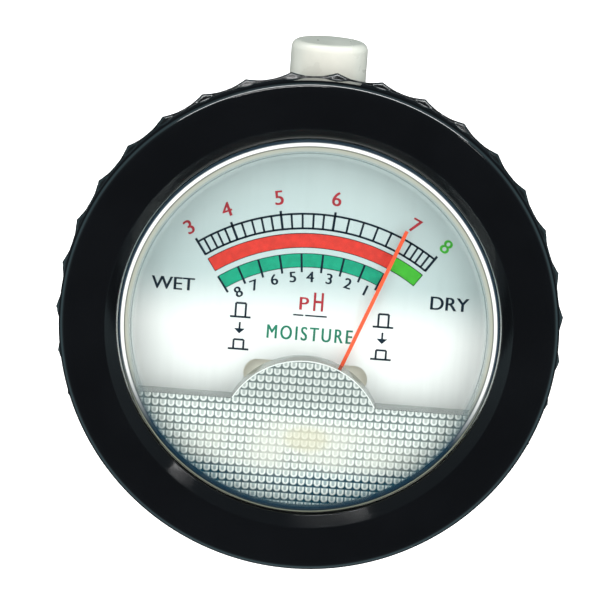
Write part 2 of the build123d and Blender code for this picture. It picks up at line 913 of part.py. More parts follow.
def rod_nut():
    """Nut on the rod's upper end."""
    bottom = floor_depth - washer_thickness
    return hexagon_nut(rod_nut_across, rod_radius, bottom - rod_nut_height, bottom)


def wire_through(*points):
    """Round wire through points of (x, y, depth), with mitred corners."""
    path = Polyline([(x, y, level(depth)) for x, y, depth in points])
    section = Plane(path @ 0, z_dir=path % 0) * Circle(lead_radius)
    return sweep(section, path, transition=Transition.RIGHT)


def stud_bottom():
    """Depth of the studs' lower ends."""
    return base_floor_depth - stud_above_floor + stud_length


def plate_lead(turn):
    """Wire from a plate's tab up through the wire holes to the left stud."""
    angle = math.radians(plate_phase + turn * 360 / plate_count)
    tab_depth = plate_start + plate_tab_inset
    tab_end = probe_radius(tab_depth) - plate_sink - plate_tab_length
    hole_x, hole_y = wire_spot(turn)
    run = rod_top_depth + 2 * lead_radius + (0.0, 2.0, 1.0)[turn - 2] * lead_layer
    end_x = -stud_x + lead_spread * math.cos(angle)
    end_y = stud_y + lead_spread * math.sin(angle)
    return wire_through(
        (tab_end * math.cos(angle), tab_end * math.sin(angle), tab_depth),
        (hole_x, hole_y, tab_depth),
        (hole_x, hole_y, run),
        (end_x, end_y, run),
        (end_x, end_y, stud_bottom()))


def rod_lead():
    """Wire from the top of the tie rod to the right stud."""
    run = (rod_top_depth + stud_bottom()) / 2
    return wire_through((0, 0, rod_top_depth), (0, 0, run), (stud_x, stud_y, run),
                        (stud_x, stud_y, stud_bottom()))


def build():
    """Every node by name."""
    nodes = {
        "bezel_ring": bezel_ring(),
        "head_housing": head_housing(),
        "lens": lens(),
        "lens_gasket": lens_gasket(),
        "prism_cover": prism_cover(),
        "dial_plate": dial_plate(),
        "dial_screws": dial_screws(),
        "meter_base": meter_base(),
        "yoke_ring": yoke_ring(),
        "core_magnet": core_magnet(),
        "core_spacers": core_spacers(),
        "upper_bridge": upper_bridge(),
        "lower_bridge": lower_bridge(),
        "upper_jewel_screw": upper_jewel_screw(),
        "lower_jewel_screw": lower_jewel_screw(),
        "coil_former": coil_former(),
        "coil_winding": coil_winding(),
        "pivot_staffs": pivot_staffs(),
        "pointer": pointer(),
        "balance_weights": balance_weights(),
        "upper_hairspring": upper_hairspring(),
        "lower_hairspring": lower_hairspring(),
        "terminal_studs": terminal_studs(),
        "terminal_nuts": terminal_nuts(),
        "shunt_resistor": shunt_resistor(),
        "push_button": push_button(),
        "button_spring": button_spring(),
        "switch_body": switch_body(),
        "fixed_contacts": fixed_contacts(),
        "contact_bridge": contact_bridge(),
        "probe_body": probe_body(),
        "insulator_ring": insulator_ring(),
        "metal_tip": metal_tip(),
        "tie_rod": tie_rod(),
        "rod_washer": rod_washer(),
        "rod_nut": rod_nut(),
        "rod_lead": rod_lead(),
    }
    for turn in range(plate_count):
        nodes[f"electrode_plate_{turn + 1}"] = electrode_plate(turn)
        nodes[f"plate_lead_{turn + 1}"] = plate_lead(turn)
    return nodes


os.makedirs("parts", exist_ok=True)
for name, shape in build().items():
    solids = shape if isinstance(shape, list) else [shape]
    group = Compound(children=[solid for part in solids for solid in part.solids()])
    export_step(group if len(group.solids()) > 1 else group.solids()[0],
                f"parts/{name}.step")
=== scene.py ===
import math
from contextlib import contextmanager

import bmesh
import bpy
from bpy.props import FloatProperty, FloatVectorProperty, IntProperty, PointerProperty
from mathutils import Matrix, Vector


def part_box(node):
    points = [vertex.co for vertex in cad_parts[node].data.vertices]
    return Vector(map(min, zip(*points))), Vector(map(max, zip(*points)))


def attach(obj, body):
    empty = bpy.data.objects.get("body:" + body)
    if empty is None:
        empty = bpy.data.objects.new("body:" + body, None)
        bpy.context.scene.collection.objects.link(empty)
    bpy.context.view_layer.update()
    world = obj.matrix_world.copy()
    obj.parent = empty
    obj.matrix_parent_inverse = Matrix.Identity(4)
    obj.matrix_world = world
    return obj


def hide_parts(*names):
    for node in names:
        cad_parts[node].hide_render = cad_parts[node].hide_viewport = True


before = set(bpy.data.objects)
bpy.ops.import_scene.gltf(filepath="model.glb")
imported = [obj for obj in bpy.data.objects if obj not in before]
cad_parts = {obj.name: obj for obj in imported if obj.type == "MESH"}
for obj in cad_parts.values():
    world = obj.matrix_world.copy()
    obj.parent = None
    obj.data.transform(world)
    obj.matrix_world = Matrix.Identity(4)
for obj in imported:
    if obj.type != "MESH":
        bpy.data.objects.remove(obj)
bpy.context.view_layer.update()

bl_info = {
    "name": "Soil tester dressing",
    "version": (1, 0, 0),
    "blender": (4, 5, 0),
    "location": "3D View > Sidebar > Soil tester",
    "description": "Dresses the packed soil tester with detailed pieces and finishes",
    "category": "Object",
}

MM = 0.001
TESTER = "tester"
BUTTON = "button"

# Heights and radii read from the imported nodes
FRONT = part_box("bezel_ring")[1].z
DIAL_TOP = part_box("dial_plate")[1].z
COVER_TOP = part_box("prism_cover")[1].z
BUTTON_LOW, BUTTON_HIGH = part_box("push_button")
BUTTON_Z = (BUTTON_LOW.z + BUTTON_HIGH.z) / 2
BEZEL_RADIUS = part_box("bezel_ring")[1].x / MM

# Radii that pieces share, in millimetres
FACE_INNER = 20.0
OPENING = 18.85
CREST = 25.0
HOUSING_MOUTH = 23.1
COLLAR = 14.8
WINDOW_EDGE = 18.75
WINDOW_ROUND_START = 17.0
WINDOW_WALL = 20.0
WINDOW_FLANGE = 21.3
BUTTON_RADIUS = 3.8

# Depths below the bezel's front, in millimetres
SLOPE_DEPTH = 1.2
LIP_DEPTH = 2.0
BEZEL_DEPTH = 3.2
SKIRT_END = 5.6
DIAL_DEPTH = 7.4
SHOULDER = 3.8

# The prismatic cover's outline, in millimetres
PRISM_RADIUS = 18.4
PRISM_EDGE = -8.11
HUMP_Y = -11.85
HUMP_RADIUS = 8.08


def level(depth):
    """Height of a depth in millimetres below the bezel's front."""
    return FRONT - depth * MM


# Mesh helpers


def corner_arc(before, corner, after, radius, steps=6):
    """Points of the round that replaces a corner of a profile."""
    before, corner, after = Vector(before), Vector(corner), Vector(after)
    one = (before - corner).normalized()
    two = (after - corner).normalized()
    half = one.angle(two) / 2
    reach = radius / math.tan(half)
    reach = min(reach, 0.49 * (before - corner).length, 0.49 * (after - corner).length)
    radius = reach * math.tan(half)
    centre = corner + (one + two).normalized() * (radius / math.sin(half))
    start = corner + one * reach - centre
    end = corner + two * reach - centre
    turn = start.angle_signed(end)
    points = []
    for step in range(steps + 1):
        angle = -turn * step / steps
        points.append(centre + Matrix.Rotation(angle, 2) @ start)
    return points


def softened(corners, steps=6, closed=True):
    """Profile points from corners of (radius, height, round), rounds in metres."""
    points = []
    count = len(corners)
    for index, (x, z, radius) in enumerate(corners):
        at_end = not closed and index in (0, count - 1)
        if radius <= 0 or at_end:
            points.append(Vector((x, z)))
            continue
        before = corners[index - 1][:2]
        after = corners[(index + 1) % count][:2]
        points += corner_arc(before, (x, z), after, radius, steps)
    return points


def profile(corners, steps=6, closed=True):
    """Profile points from corners of (radius, depth, round) in millimetres."""
    return softened([(radius * MM, level(depth), soft * MM) for radius, depth, soft in corners],
                    steps, closed)


def strip(bm, one, two, closed=True):
    """Quads between two rows of vertices."""
    count = len(one)
    for k in range(count if closed else count - 1):
        n = (k + 1) % count
        bm.faces.new((one[k], one[n], two[n], two[k]))


def slab(bm, outline, low, high):
    """Solid over an outline of (x, y) points, from one height to another."""
    under = [bm.verts.new((x, y, low)) for x, y in outline]
    over = [bm.verts.new((x, y, high)) for x, y in outline]
    bm.faces.new(over)
    bm.faces.new(under[::-1])
    strip(bm, under, over)


def turned(name, points, segments=192, closed=True, sharp=35):
    """Mesh of a profile turned about Z; points on the axis become single vertices."""
    bm = bmesh.new()
    rings = []
    for point in points:
        if point[0] < 1e-6:
            rings.append([bm.verts.new((0, 0, point[1]))])
            continue
        rings.append([bm.verts.new((point[0] * math.cos(a), point[0] * math.sin(a), point[1]))
                      for a in (math.tau * k / segments for k in range(segments))])
    pairs = list(zip(rings, rings[1:]))
    if closed:
        pairs.append((rings[-1], rings[0]))
    for lower, upper in pairs:
        if len(lower) == len(upper) == segments:
            strip(bm, lower, upper)
            continue
        tip, ring = sorted((lower, upper), key=len)
        if len(ring) == segments:
            for k in range(segments):
                bm.faces.new((tip[0], ring[k], ring[(k + 1) % segments]))
    return mesh_from(bm, name, sharp)


def mesh_from(bm, name, sharp=35):
    """Finished mesh with outward faces, smooth apart from edges sharper than the angle."""
    bmesh.ops.remove_doubles(bm, verts=bm.verts, dist=1e-7)
    bmesh.ops.recalc_face_normals(bm, faces=bm.faces)
    mesh = bpy.data.meshes.new(name)
    bm.to_mesh(mesh)
    bm.free()
    smooth(mesh, sharp)
    return mesh


def smooth(mesh, sharp=35):
    """Smooth shading, broken at edges sharper than the angle in degrees."""
    mesh.polygons.foreach_set("use_smooth", [True] * len(mesh.polygons))
    mesh.set_sharp_from_angle(angle=math.radians(sharp))


def piece(name, mesh, body, materials, replaces=()):
    """Object that rides on a body, wears its materials and may stand for CAD nodes."""
    made = bpy.data.objects.new(name, mesh)
    bpy.context.scene.collection.objects.link(made)
    mesh.materials.clear()
    for material in materials:
        mesh.materials.append(material)
    modifier = made.modifiers.new("even_shading", "WEIGHTED_NORMAL")
    modifier.keep_sharp = True
    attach(made, body)
    if replaces:
        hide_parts(*replaces)
    return made


def applied(made):
    """Object's mesh with its modifiers applied, in place of its own."""
    graph = bpy.context.evaluated_depsgraph_get()
    mesh = bpy.data.meshes.new_from_object(made.evaluated_get(graph))
    made.modifiers.clear()
    made.data = mesh
    made.modifiers.new("even_shading", "WEIGHTED_NORMAL").keep_sharp = True


def cut(target, cutter, operation="DIFFERENCE"):
    """Applies a boolean of the cutter to the target and removes the cutter."""
    modifier = target.modifiers.new("cut", "BOOLEAN")
    modifier.operation = operation
    modifier.object = cutter
    modifier.solver = "EXACT"
    bpy.context.view_layer.update()
    applied(target)
    bpy.data.objects.remove(cutter)


def dress(names, material):
    """Gives CAD nodes a material in all their slots."""
    for name in names:
        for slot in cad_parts[name].material_slots:
            slot.material = material


def loose(name, mesh):
    """Helper object that is only used to cut another."""
    made = bpy.data.objects.new(name, mesh)
    bpy.context.scene.collection.objects.link(made)
    return made


# Material helpers


class Finish:
    """Node tree of one material or of the world, built step by step."""

    acrylic_index = 1.49

    def __init__(self, name, library="materials", output="ShaderNodeOutputMaterial",
                 place="Object"):
        self.block = getattr(bpy.data, library).new(name)
        self.block.use_nodes = True
        self.tree = self.block.node_tree
        self.tree.nodes.clear()
        self.output = self.add(output)
        self.place = self.add("ShaderNodeTexCoord").outputs[place]

    def add(self, kind, **values):
        node = self.tree.nodes.new(kind)
        for key, value in values.items():
            setattr(node, key, value)
        return node

    def link(self, source, target):
        self.tree.links.new(source, target)

    def scaled(self, scale):
        """Coordinates stretched by a vector."""
        node = self.add("ShaderNodeMapping")
        node.inputs["Scale"].default_value = scale
        self.link(self.place, node.inputs["Vector"])
        return node.outputs["Vector"]

    def noise(self, scale, detail=3.0, stretch=(1, 1, 1)):
        """Noise value, with its scale in features per metre."""
        node = self.add("ShaderNodeTexNoise")
        node.inputs["Scale"].default_value = scale
        node.inputs["Detail"].default_value = detail
        self.link(self.scaled(stretch), node.inputs["Vector"])
        return node.outputs["Fac"]

    def axis(self, index):
        """One coordinate, in metres on a piece."""
        node = self.add("ShaderNodeSeparateXYZ")
        self.link(self.place, node.inputs[0])
        return node.outputs[index]

    def math(self, operation, one, two=0.0, clamp=False):
        node = self.add("ShaderNodeMath", operation=operation, use_clamp=clamp)
        for socket, value in zip(node.inputs, (one, two)):
            if isinstance(value, (int, float)):
                socket.default_value = value
            else:
                self.link(value, socket)
        return node.outputs[0]

    def between(self, value, low, high, out_low=0.0, out_high=1.0):
        """Value mapped smoothly from one range to another."""
        node = self.add("ShaderNodeMapRange", interpolation_type="SMOOTHSTEP")
        self.link(value, node.inputs["Value"])
        for key, number in (("From Min", low), ("From Max", high),
                            ("To Min", out_low), ("To Max", out_high)):
            node.inputs[key].default_value = number
        return node.outputs[0]

    def uneven(self, marks, low, high):
        """Value that wanders between two numbers with a noise."""
        return self.between(marks, 0.3, 0.7, low, high)

    def mixed(self, factor, one, two, blend="MIX"):
        """Mix of two colours, each a socket or a tuple."""
        node = self.add("ShaderNodeMix", data_type="RGBA", blend_type=blend)
        for socket, value in ((node.inputs[0], factor), (node.inputs[6], one),
                              (node.inputs[7], two)):
            if isinstance(value, (int, float)):
                socket.default_value = value
            elif isinstance(value, tuple) or hasattr(value, "hsv"):
                socket.default_value = (*value[:3], 1.0)
            else:
                self.link(value, socket)
        return node.outputs[2]

    def radius(self):
        """Distance from the tester's axis in metres."""
        squares = [self.math("MULTIPLY", axis, axis) for axis in (self.axis(0), self.axis(1))]
        return self.math("SQRT", self.math("ADD", *squares))

    def ellipse(self, centre, reach):
        """Nought at an ellipse's centre and one on its outline, both given in millimetres."""
        squares = []
        for index in (0, 1):
            off = self.math("SUBTRACT", self.axis(index), centre[index] * MM)
            share = self.math("ABSOLUTE", self.math("DIVIDE", off, reach[index] * MM))
            squares.append(self.math("POWER", share, 2.0))
        return self.math("ADD", *squares)

    def line(self, value, middle, half, soft):
        """One inside a soft-edged band of a value, else nought."""
        off = self.math("ABSOLUTE", self.math("SUBTRACT", value, middle))
        return self.between(off, half - soft, half + soft, 1.0, 0.0)

    def ramp(self, value, stops):
        """Colour ramp from (position, red, green, blue, alpha) stops."""
        node = self.add("ShaderNodeValToRGB")
        elements = node.color_ramp.elements
        while len(elements) < len(stops):
            elements.new(1.0)
        for element, (position, *colour) in zip(elements, stops):
            element.position = position
            element.color = colour
        self.link(value, node.inputs[0])
        return node.outputs

    def blend(self, factor, one, two):
        """Mix of two shaders."""
        node = self.add("ShaderNodeMixShader")
        if isinstance(factor, (int, float)):
            node.inputs[0].default_value = factor
        else:
            self.link(factor, node.inputs[0])
        self.link(one, node.inputs[1])
        self.link(two, node.inputs[2])
        return node.outputs[0]

    def see_through(self, tint):
        """Clear shader that lets light straight through."""
        node = self.add("ShaderNodeBsdfTransparent")
        node.inputs["Color"].default_value = (*tint[:3], 1.0)
        return node.outputs[0]

    def sheen(self, roughness, under):
        """Lays a clear surface's reflection over a shader, on its outer side only."""
        gloss = self.add("ShaderNodeBsdfGlossy")
        self.link(roughness, gloss.inputs["Roughness"])
        edge = self.add("ShaderNodeFresnel")
        edge.inputs["IOR"].default_value = self.acrylic_index
        back = self.add("ShaderNodeNewGeometry").outputs["Backfacing"]
        front = self.math("SUBTRACT", 1.0, back)
        return self.blend(self.math("MULTIPLY", edge.outputs[0], front), under, gloss.outputs[0])

    def bump(self, height, strength, distance=0.0001):
        node = self.add("ShaderNodeBump")
        node.inputs["Strength"].default_value = strength
        node.inputs["Distance"].default_value = distance
        self.link(height, node.inputs["Height"])
        return node.outputs["Normal"]

    def principled(self, colour, roughness, metallic=0.0, normal=None, **constants):
        """Main shader; colour and roughness may be sockets."""
        shader = self.add("ShaderNodeBsdfPrincipled")
        for key, value in (("Base Color", colour), ("Roughness", roughness)):
            if isinstance(value, (int, float)):
                shader.inputs[key].default_value = value
            elif isinstance(value, tuple):
                shader.inputs[key].default_value = (*value[:3], 1.0)
            else:
                self.link(value, shader.inputs[key])
        shader.inputs["Metallic"].default_value = metallic
        for key, value in constants.items():
            shader.inputs[key.replace("_", " ")].default_value = value
        if normal is not None:
            self.link(normal, shader.inputs["Normal"])
        return shader.outputs[0]

    def surface(self, shader):
        self.link(shader, self.output.inputs["Surface"])
        return self.block


def varied(finish, colour, amount, scale, stretch=(1, 1, 1)):
    """Base colour with a soft variation in lightness."""
    dark = tuple(c * (1 - amount) for c in colour[:3])
    light = tuple(min(1.0, c * (1 + amount)) for c in colour[:3])
    spots = finish.noise(scale, 4.0, stretch)
    return finish.mixed(finish.uneven(spots, 0.0, 1.0), dark, light)


def plastic(name, colour, roughness, grain=0.1, coat=0.0):
    """Moulded plastic: fine orange-peel bump, faint handling marks in the gloss."""
    finish = Finish(name)
    base = varied(finish, colour, 0.12, 120)
    smears = finish.noise(260, 5.0, (1.0, 1.0, 0.35))
    gloss = finish.between(smears, 0.25, 0.75, roughness * 0.8, roughness * 1.25)
    peel = finish.bump(finish.noise(2600, 2.0), grain)
    shader = finish.principled(base, gloss, 0.0, peel, Coat_Weight=coat, Coat_Roughness=0.05)
    return finish.surface(shader)


def metal(name, colour, roughness, stretch=(1, 1, 1), grain=0.15, scale=900, bare=1.0):
    """Metal with drawn or turned marks along the unstretched axis."""
    finish = Finish(name)
    marks = finish.noise(scale, 4.0, stretch)
    base = varied(finish, colour, 0.10, scale, stretch)
    gloss = finish.uneven(marks, roughness * 0.75, roughness * 1.3)
    shader = finish.principled(base, gloss, bare, finish.bump(marks, grain))
    return finish.surface(shader)


def ink(name, colour):
    """Screen-printed ink: slightly uneven cover, half gloss."""
    finish = Finish(name)
    base = varied(finish, colour, 0.10, 1400)
    pores = finish.noise(5200, 2.0)
    gloss = finish.uneven(pores, 0.35, 0.6)
    shader = finish.principled(base, gloss, 0.0, finish.bump(pores, 0.05))
    return finish.surface(shader)


# Properties


def colour_property(name, description, default):
    return FloatVectorProperty(name=name, description=description, subtype="COLOR", size=3,
                               min=0.0, max=1.0, default=default)


def length_property(name, description, default):
    return FloatProperty(name=name, description=description, default=default,
                         min=0.0, unit="LENGTH", precision=5)


class CaseSettings(bpy.types.PropertyGroup):
    """Sizes and colours of the bezel, grip, button and probe."""
    black: colour_property("Black", "Moulded black of the bezel and grip", (0.0035, 0.004, 0.0048))
    ivory: colour_property("Ivory", "Moulded ivory of the push button", (0.80, 0.80, 0.71))
    flutes: IntProperty(name="Flutes", description="Scoops round the grip", default=35, min=3)
    flute_depth: length_property("Flute depth", "Depth of a scoop under its crests", 0.5 * MM)
    edge_round: length_property("Edge round", "Rounding of the bezel's outer edge", 1.4 * MM)


class DialSettings(bpy.types.PropertyGroup):
    """Colours and places of the dial's printing."""
    # Painted reflection: the dial is cool grey at the top and near white in its lower half, for
    # the dark and the bright surroundings its metal mirrors
    silver_top_painted_reflection: colour_property("Upper silver", "Metal at the dial's top", (0.50, 0.61, 0.61))
    silver_low_painted_reflection: colour_property("Lower silver", "Metal at the dial's lower half",
                                (0.97, 1.0, 0.985))
    red: colour_property("Red", "Acid band", (0.66, 0.035, 0.022))
    green: colour_property("Green", "Alkaline band", (0.045, 0.44, 0.025))
    teal: colour_property("Teal", "Moisture band", (0.0, 0.33, 0.19))
    navy: colour_property("Navy", "Ticks and words", (0.003, 0.018, 0.035))
    numeral_red: colour_property("Numeral red", "Acid numerals", (0.42, 0.02, 0.035))
    word_green: colour_property("Word green", "Lower word", (0.0, 0.23, 0.13))
    orange: colour_property("Orange", "Needle", (0.95, 0.105, 0.035))
    centre_x: FloatProperty(name="Centre X", description="Centre of the scale's arcs",
                            default=0.16 * MM, unit="LENGTH", precision=5)
    letter_weight: length_property("Letter weight", "Thickening of the letters' uprights",
                                   0.07 * MM)
    print_rise: length_property("Print rise", "How far the printing sits towards +Y", 0.26 * MM)
    centre_y: FloatProperty(name="Centre Y", description="Centre of the scale's arcs",
                            default=-10.70 * MM, unit="LENGTH", precision=5)
    ink_height: length_property("Ink height", "Thickness of the printing", 0.02 * MM)


class WindowSettings(bpy.types.PropertyGroup):
    """Sizes and colours of the window and the prismatic cover."""
    cell: length_property("Cell pitch", "Pitch of the prismatic cells", 0.79 * MM)
    relief: length_property("Cell relief", "Height of a prismatic cell", 0.09 * MM)
    tint: colour_property("Tint", "Tint of the clear plastic", (0.985, 0.995, 0.99))


class StageSettings(bpy.types.PropertyGroup):
    """Camera, floor and lights."""
    tilt: FloatProperty(name="Camera tilt", description="Camera above the dial's face-on line",
                        default=math.radians(13.0), subtype="ANGLE")
    roll: FloatProperty(name="Camera roll", description="Turn of the tester in the frame",
                        default=math.radians(4.3), subtype="ANGLE")
    distance: length_property("Distance", "Camera to the bezel's front", 0.350)
    lens: FloatProperty(name="Lens", description="Focal length in millimetres",
                        default=215.6, min=1.0)


SETTINGS = (("soil_case", CaseSettings), ("soil_dial", DialSettings),
            ("soil_window", WindowSettings), ("soil_stage", StageSettings))


# Operators


class SOIL_OT_bezel(bpy.types.Operator):
    """Smooth black ring with a rounded outer edge and an inner slope"""
    bl_idname = "soil.bezel"
    bl_label = "Bezel ring"

    def execute(self, context):
        case = context.scene.soil_case
        skirt, skirt_inner = 23.0, 21.6
        corners = [
            (FACE_INNER, 0, 0.35),
            (BEZEL_RADIUS, 0, case.edge_round / MM),
            (BEZEL_RADIUS, BEZEL_DEPTH, 0.25),
            (skirt, BEZEL_DEPTH, 0.1),
            (skirt, SKIRT_END, 0.1),
            (skirt_inner, SKIRT_END, 0.1),
            (skirt_inner, LIP_DEPTH, 0),
            (OPENING, LIP_DEPTH, 0.05),
            (OPENING, SLOPE_DEPTH, 0.3),
        ]
        mesh = turned("bezel", profile(corners, 8), 320)
        gloss = plastic("bezel_gloss", case.black, 0.07, 0.012)
        piece("bezel", mesh, TESTER, [gloss], ["bezel_ring"])
        return {"FINISHED"}


class SOIL_OT_grip(bpy.types.Operator):
    """Bell-shaped grip with scooped flutes and the button's hole"""
    bl_idname = "soil.grip"
    bl_label = "Grip housing"

    taper = 0.2
    scoops_end = 24.5
    phase = math.radians(5.6)
    steps_per_flute = 22
    # The button's hole in millimetres: its radius, its middle along Y and its length
    hole_radius, hole_middle, hole_length = 3.95, 23.4, 8.0
    # Rows of (depth, radius) in millimetres, where None leaves the radius to the scoops,
    # and the bell's corners between the outer and the inner rows
    outside = [(BEZEL_DEPTH, 24.4), (3.4, 24.6), (3.6, 24.85), (SHOULDER, CREST)]
    outside += [(SHOULDER + 0.7 * step, None) for step in range(1, 25)]
    bell = [(21.46, 21.5, 0), (COLLAR, 31.0, 7.0), (COLLAR, 36.0, 0.3), (12.0, 36.0, 0)]
    inside = [(33.0, 12.0), (33.0, 0.5), (30.5, 0.5), (30.5, 11.5), (25.0, 18.9), (12.0, 21.4),
              (5.9, 22.6), (5.9, HOUSING_MOUTH), (BEZEL_DEPTH, HOUSING_MOUTH)]

    def scooped(self, angle, depth, case):
        """Radius of the scooped grip at an angle and a depth in millimetres."""
        scale = 1 - self.taper * (depth - SHOULDER) / CREST
        half = math.pi / case.flutes
        crest = CREST * MM * scale
        valley = crest - case.flute_depth * scale
        chord = crest * math.sin(half)
        rise = crest * math.cos(half) - valley
        scoop = (chord * chord + rise * rise) / (2 * rise)
        centre = valley + scoop
        off = (angle - self.phase) % (2 * half) - half
        within = scoop * scoop - (centre * math.sin(off)) ** 2
        return min(centre * math.cos(off) - math.sqrt(within), crest - 0.02 * MM)

    def ring(self, bm, case, z, limit, outer):
        """Row of vertices at a height, scooped where it lies on the fluted outside."""
        depth = (FRONT - z) / MM
        count = case.flutes * self.steps_per_flute
        row = []
        for k in range(count):
            angle = math.tau * k / count
            radius = limit
            if outer and depth < self.scoops_end:
                radius = min(limit or math.inf, self.scooped(angle, depth, case))
            row.append(bm.verts.new((radius * math.cos(angle), radius * math.sin(angle), z)))
        return row

    def execute(self, context):
        case = context.scene.soil_case
        rows = [(level(depth), radius and radius * MM, True) for depth, radius in self.outside]
        rows += [(point[1], point[0], True)
                 for point in self.divided(profile(self.bell, 16, closed=False))]
        rows += [(level(depth), radius * MM, False) for depth, radius in self.inside]
        bm = bmesh.new()
        rings = [self.ring(bm, case, *row) for row in rows]
        for lower, upper in zip(rings, rings[1:] + rings[:1]):
            strip(bm, lower, upper)
        black = plastic("grip_black", case.black, 0.14, 0.05)
        made = piece("grip", mesh_from(bm, "grip", 28), TESTER, [black],
                     ["head_housing"])
        cut(made, self.hole())
        smooth(made.data, 28)
        return {"FINISHED"}

    def hole(self):
        """Cutter for the button's hole through the grip's wall."""
        bm = bmesh.new()
        bmesh.ops.create_cone(bm, cap_ends=True, segments=96, radius1=self.hole_radius * MM,
                              radius2=self.hole_radius * MM, depth=self.hole_length * MM,
                              matrix=Matrix.Translation((0, self.hole_middle * MM, BUTTON_Z))
                              @ Matrix.Rotation(math.pi / 2, 4, "X"))
        return loose("hole", mesh_from(bm, "hole"))

    @staticmethod
    def divided(points, step=0.35 * MM):
        """Profile points with long runs divided, for the scoops' run-out."""
        result = [points[0]]
        for start, end in zip(points, points[1:]):
            parts = max(1, math.ceil((end - start).length / step))
            result += [start.lerp(end, part / parts) for part in range(1, parts + 1)]
        return result


class SOIL_OT_button(bpy.types.Operator):
    """Ivory push button with a rounded rim"""
    bl_idname = "soil.button"
    bl_label = "Push button"

    def execute(self, context):
        case = context.scene.soil_case
        radius, inner_end = BUTTON_RADIUS * MM, 20.6 * MM
        corners = [(0, BUTTON_HIGH.y, 0), (radius, BUTTON_HIGH.y, 0.8 * MM),
                   (radius, inner_end, 0), (0, inner_end, 0)]
        mesh = turned("button_cap", softened(corners, 10, closed=False), 128, closed=False)
        mesh.transform(Matrix.Translation((0, 0, BUTTON_Z))
                       @ Matrix.Rotation(-math.pi / 2, 4, "X"))
        ivory = plastic("button_ivory", case.ivory, 0.32, 0.04)
        piece("button_cap", mesh, BUTTON, [ivory], ["push_button"])
        return {"FINISHED"}


class SOIL_OT_dial(bpy.types.Operator):
    """Brushed silver scale plate, its colour a painted reflection: near white below, cool grey
    above
    """
    bl_idname = "soil.dial"
    bl_label = "Dial plate"

    def execute(self, context):
        dial = context.scene.soil_dial
        finish = Finish("dial_brushed")
        # Painted reflection: the colour fades from near white below to cool grey above, with a
        # faint random cloud
        reflection_fade = finish.between(finish.axis(1), -2.5 * MM, 4.5 * MM)
        brush = finish.noise(900, 3.0, (2.2, 0.03, 1))
        cloud = finish.noise(70, 2.0)
        reflection_fade = finish.math("ADD", reflection_fade, finish.between(cloud, 0.0, 1.0, -0.12, 0.12), clamp=True)
        base = finish.mixed(reflection_fade, tuple(dial.silver_low_painted_reflection), tuple(dial.silver_top_painted_reflection))
        light = finish.uneven(brush, 0.975, 1.0)
        shade = finish.add("ShaderNodeCombineColor")
        for socket in shade.inputs:
            finish.link(light, socket)
        base = finish.mixed(1.0, base, shade.outputs[0], "MULTIPLY")
        gloss = finish.uneven(brush, 0.42, 0.56)
        shader = finish.principled(base, gloss, 0.0, finish.bump(brush, 0.06),
                                   Specular_IOR_Level=0.6)
        dress(["dial_plate"], finish.surface(shader))
        return {"FINISHED"}


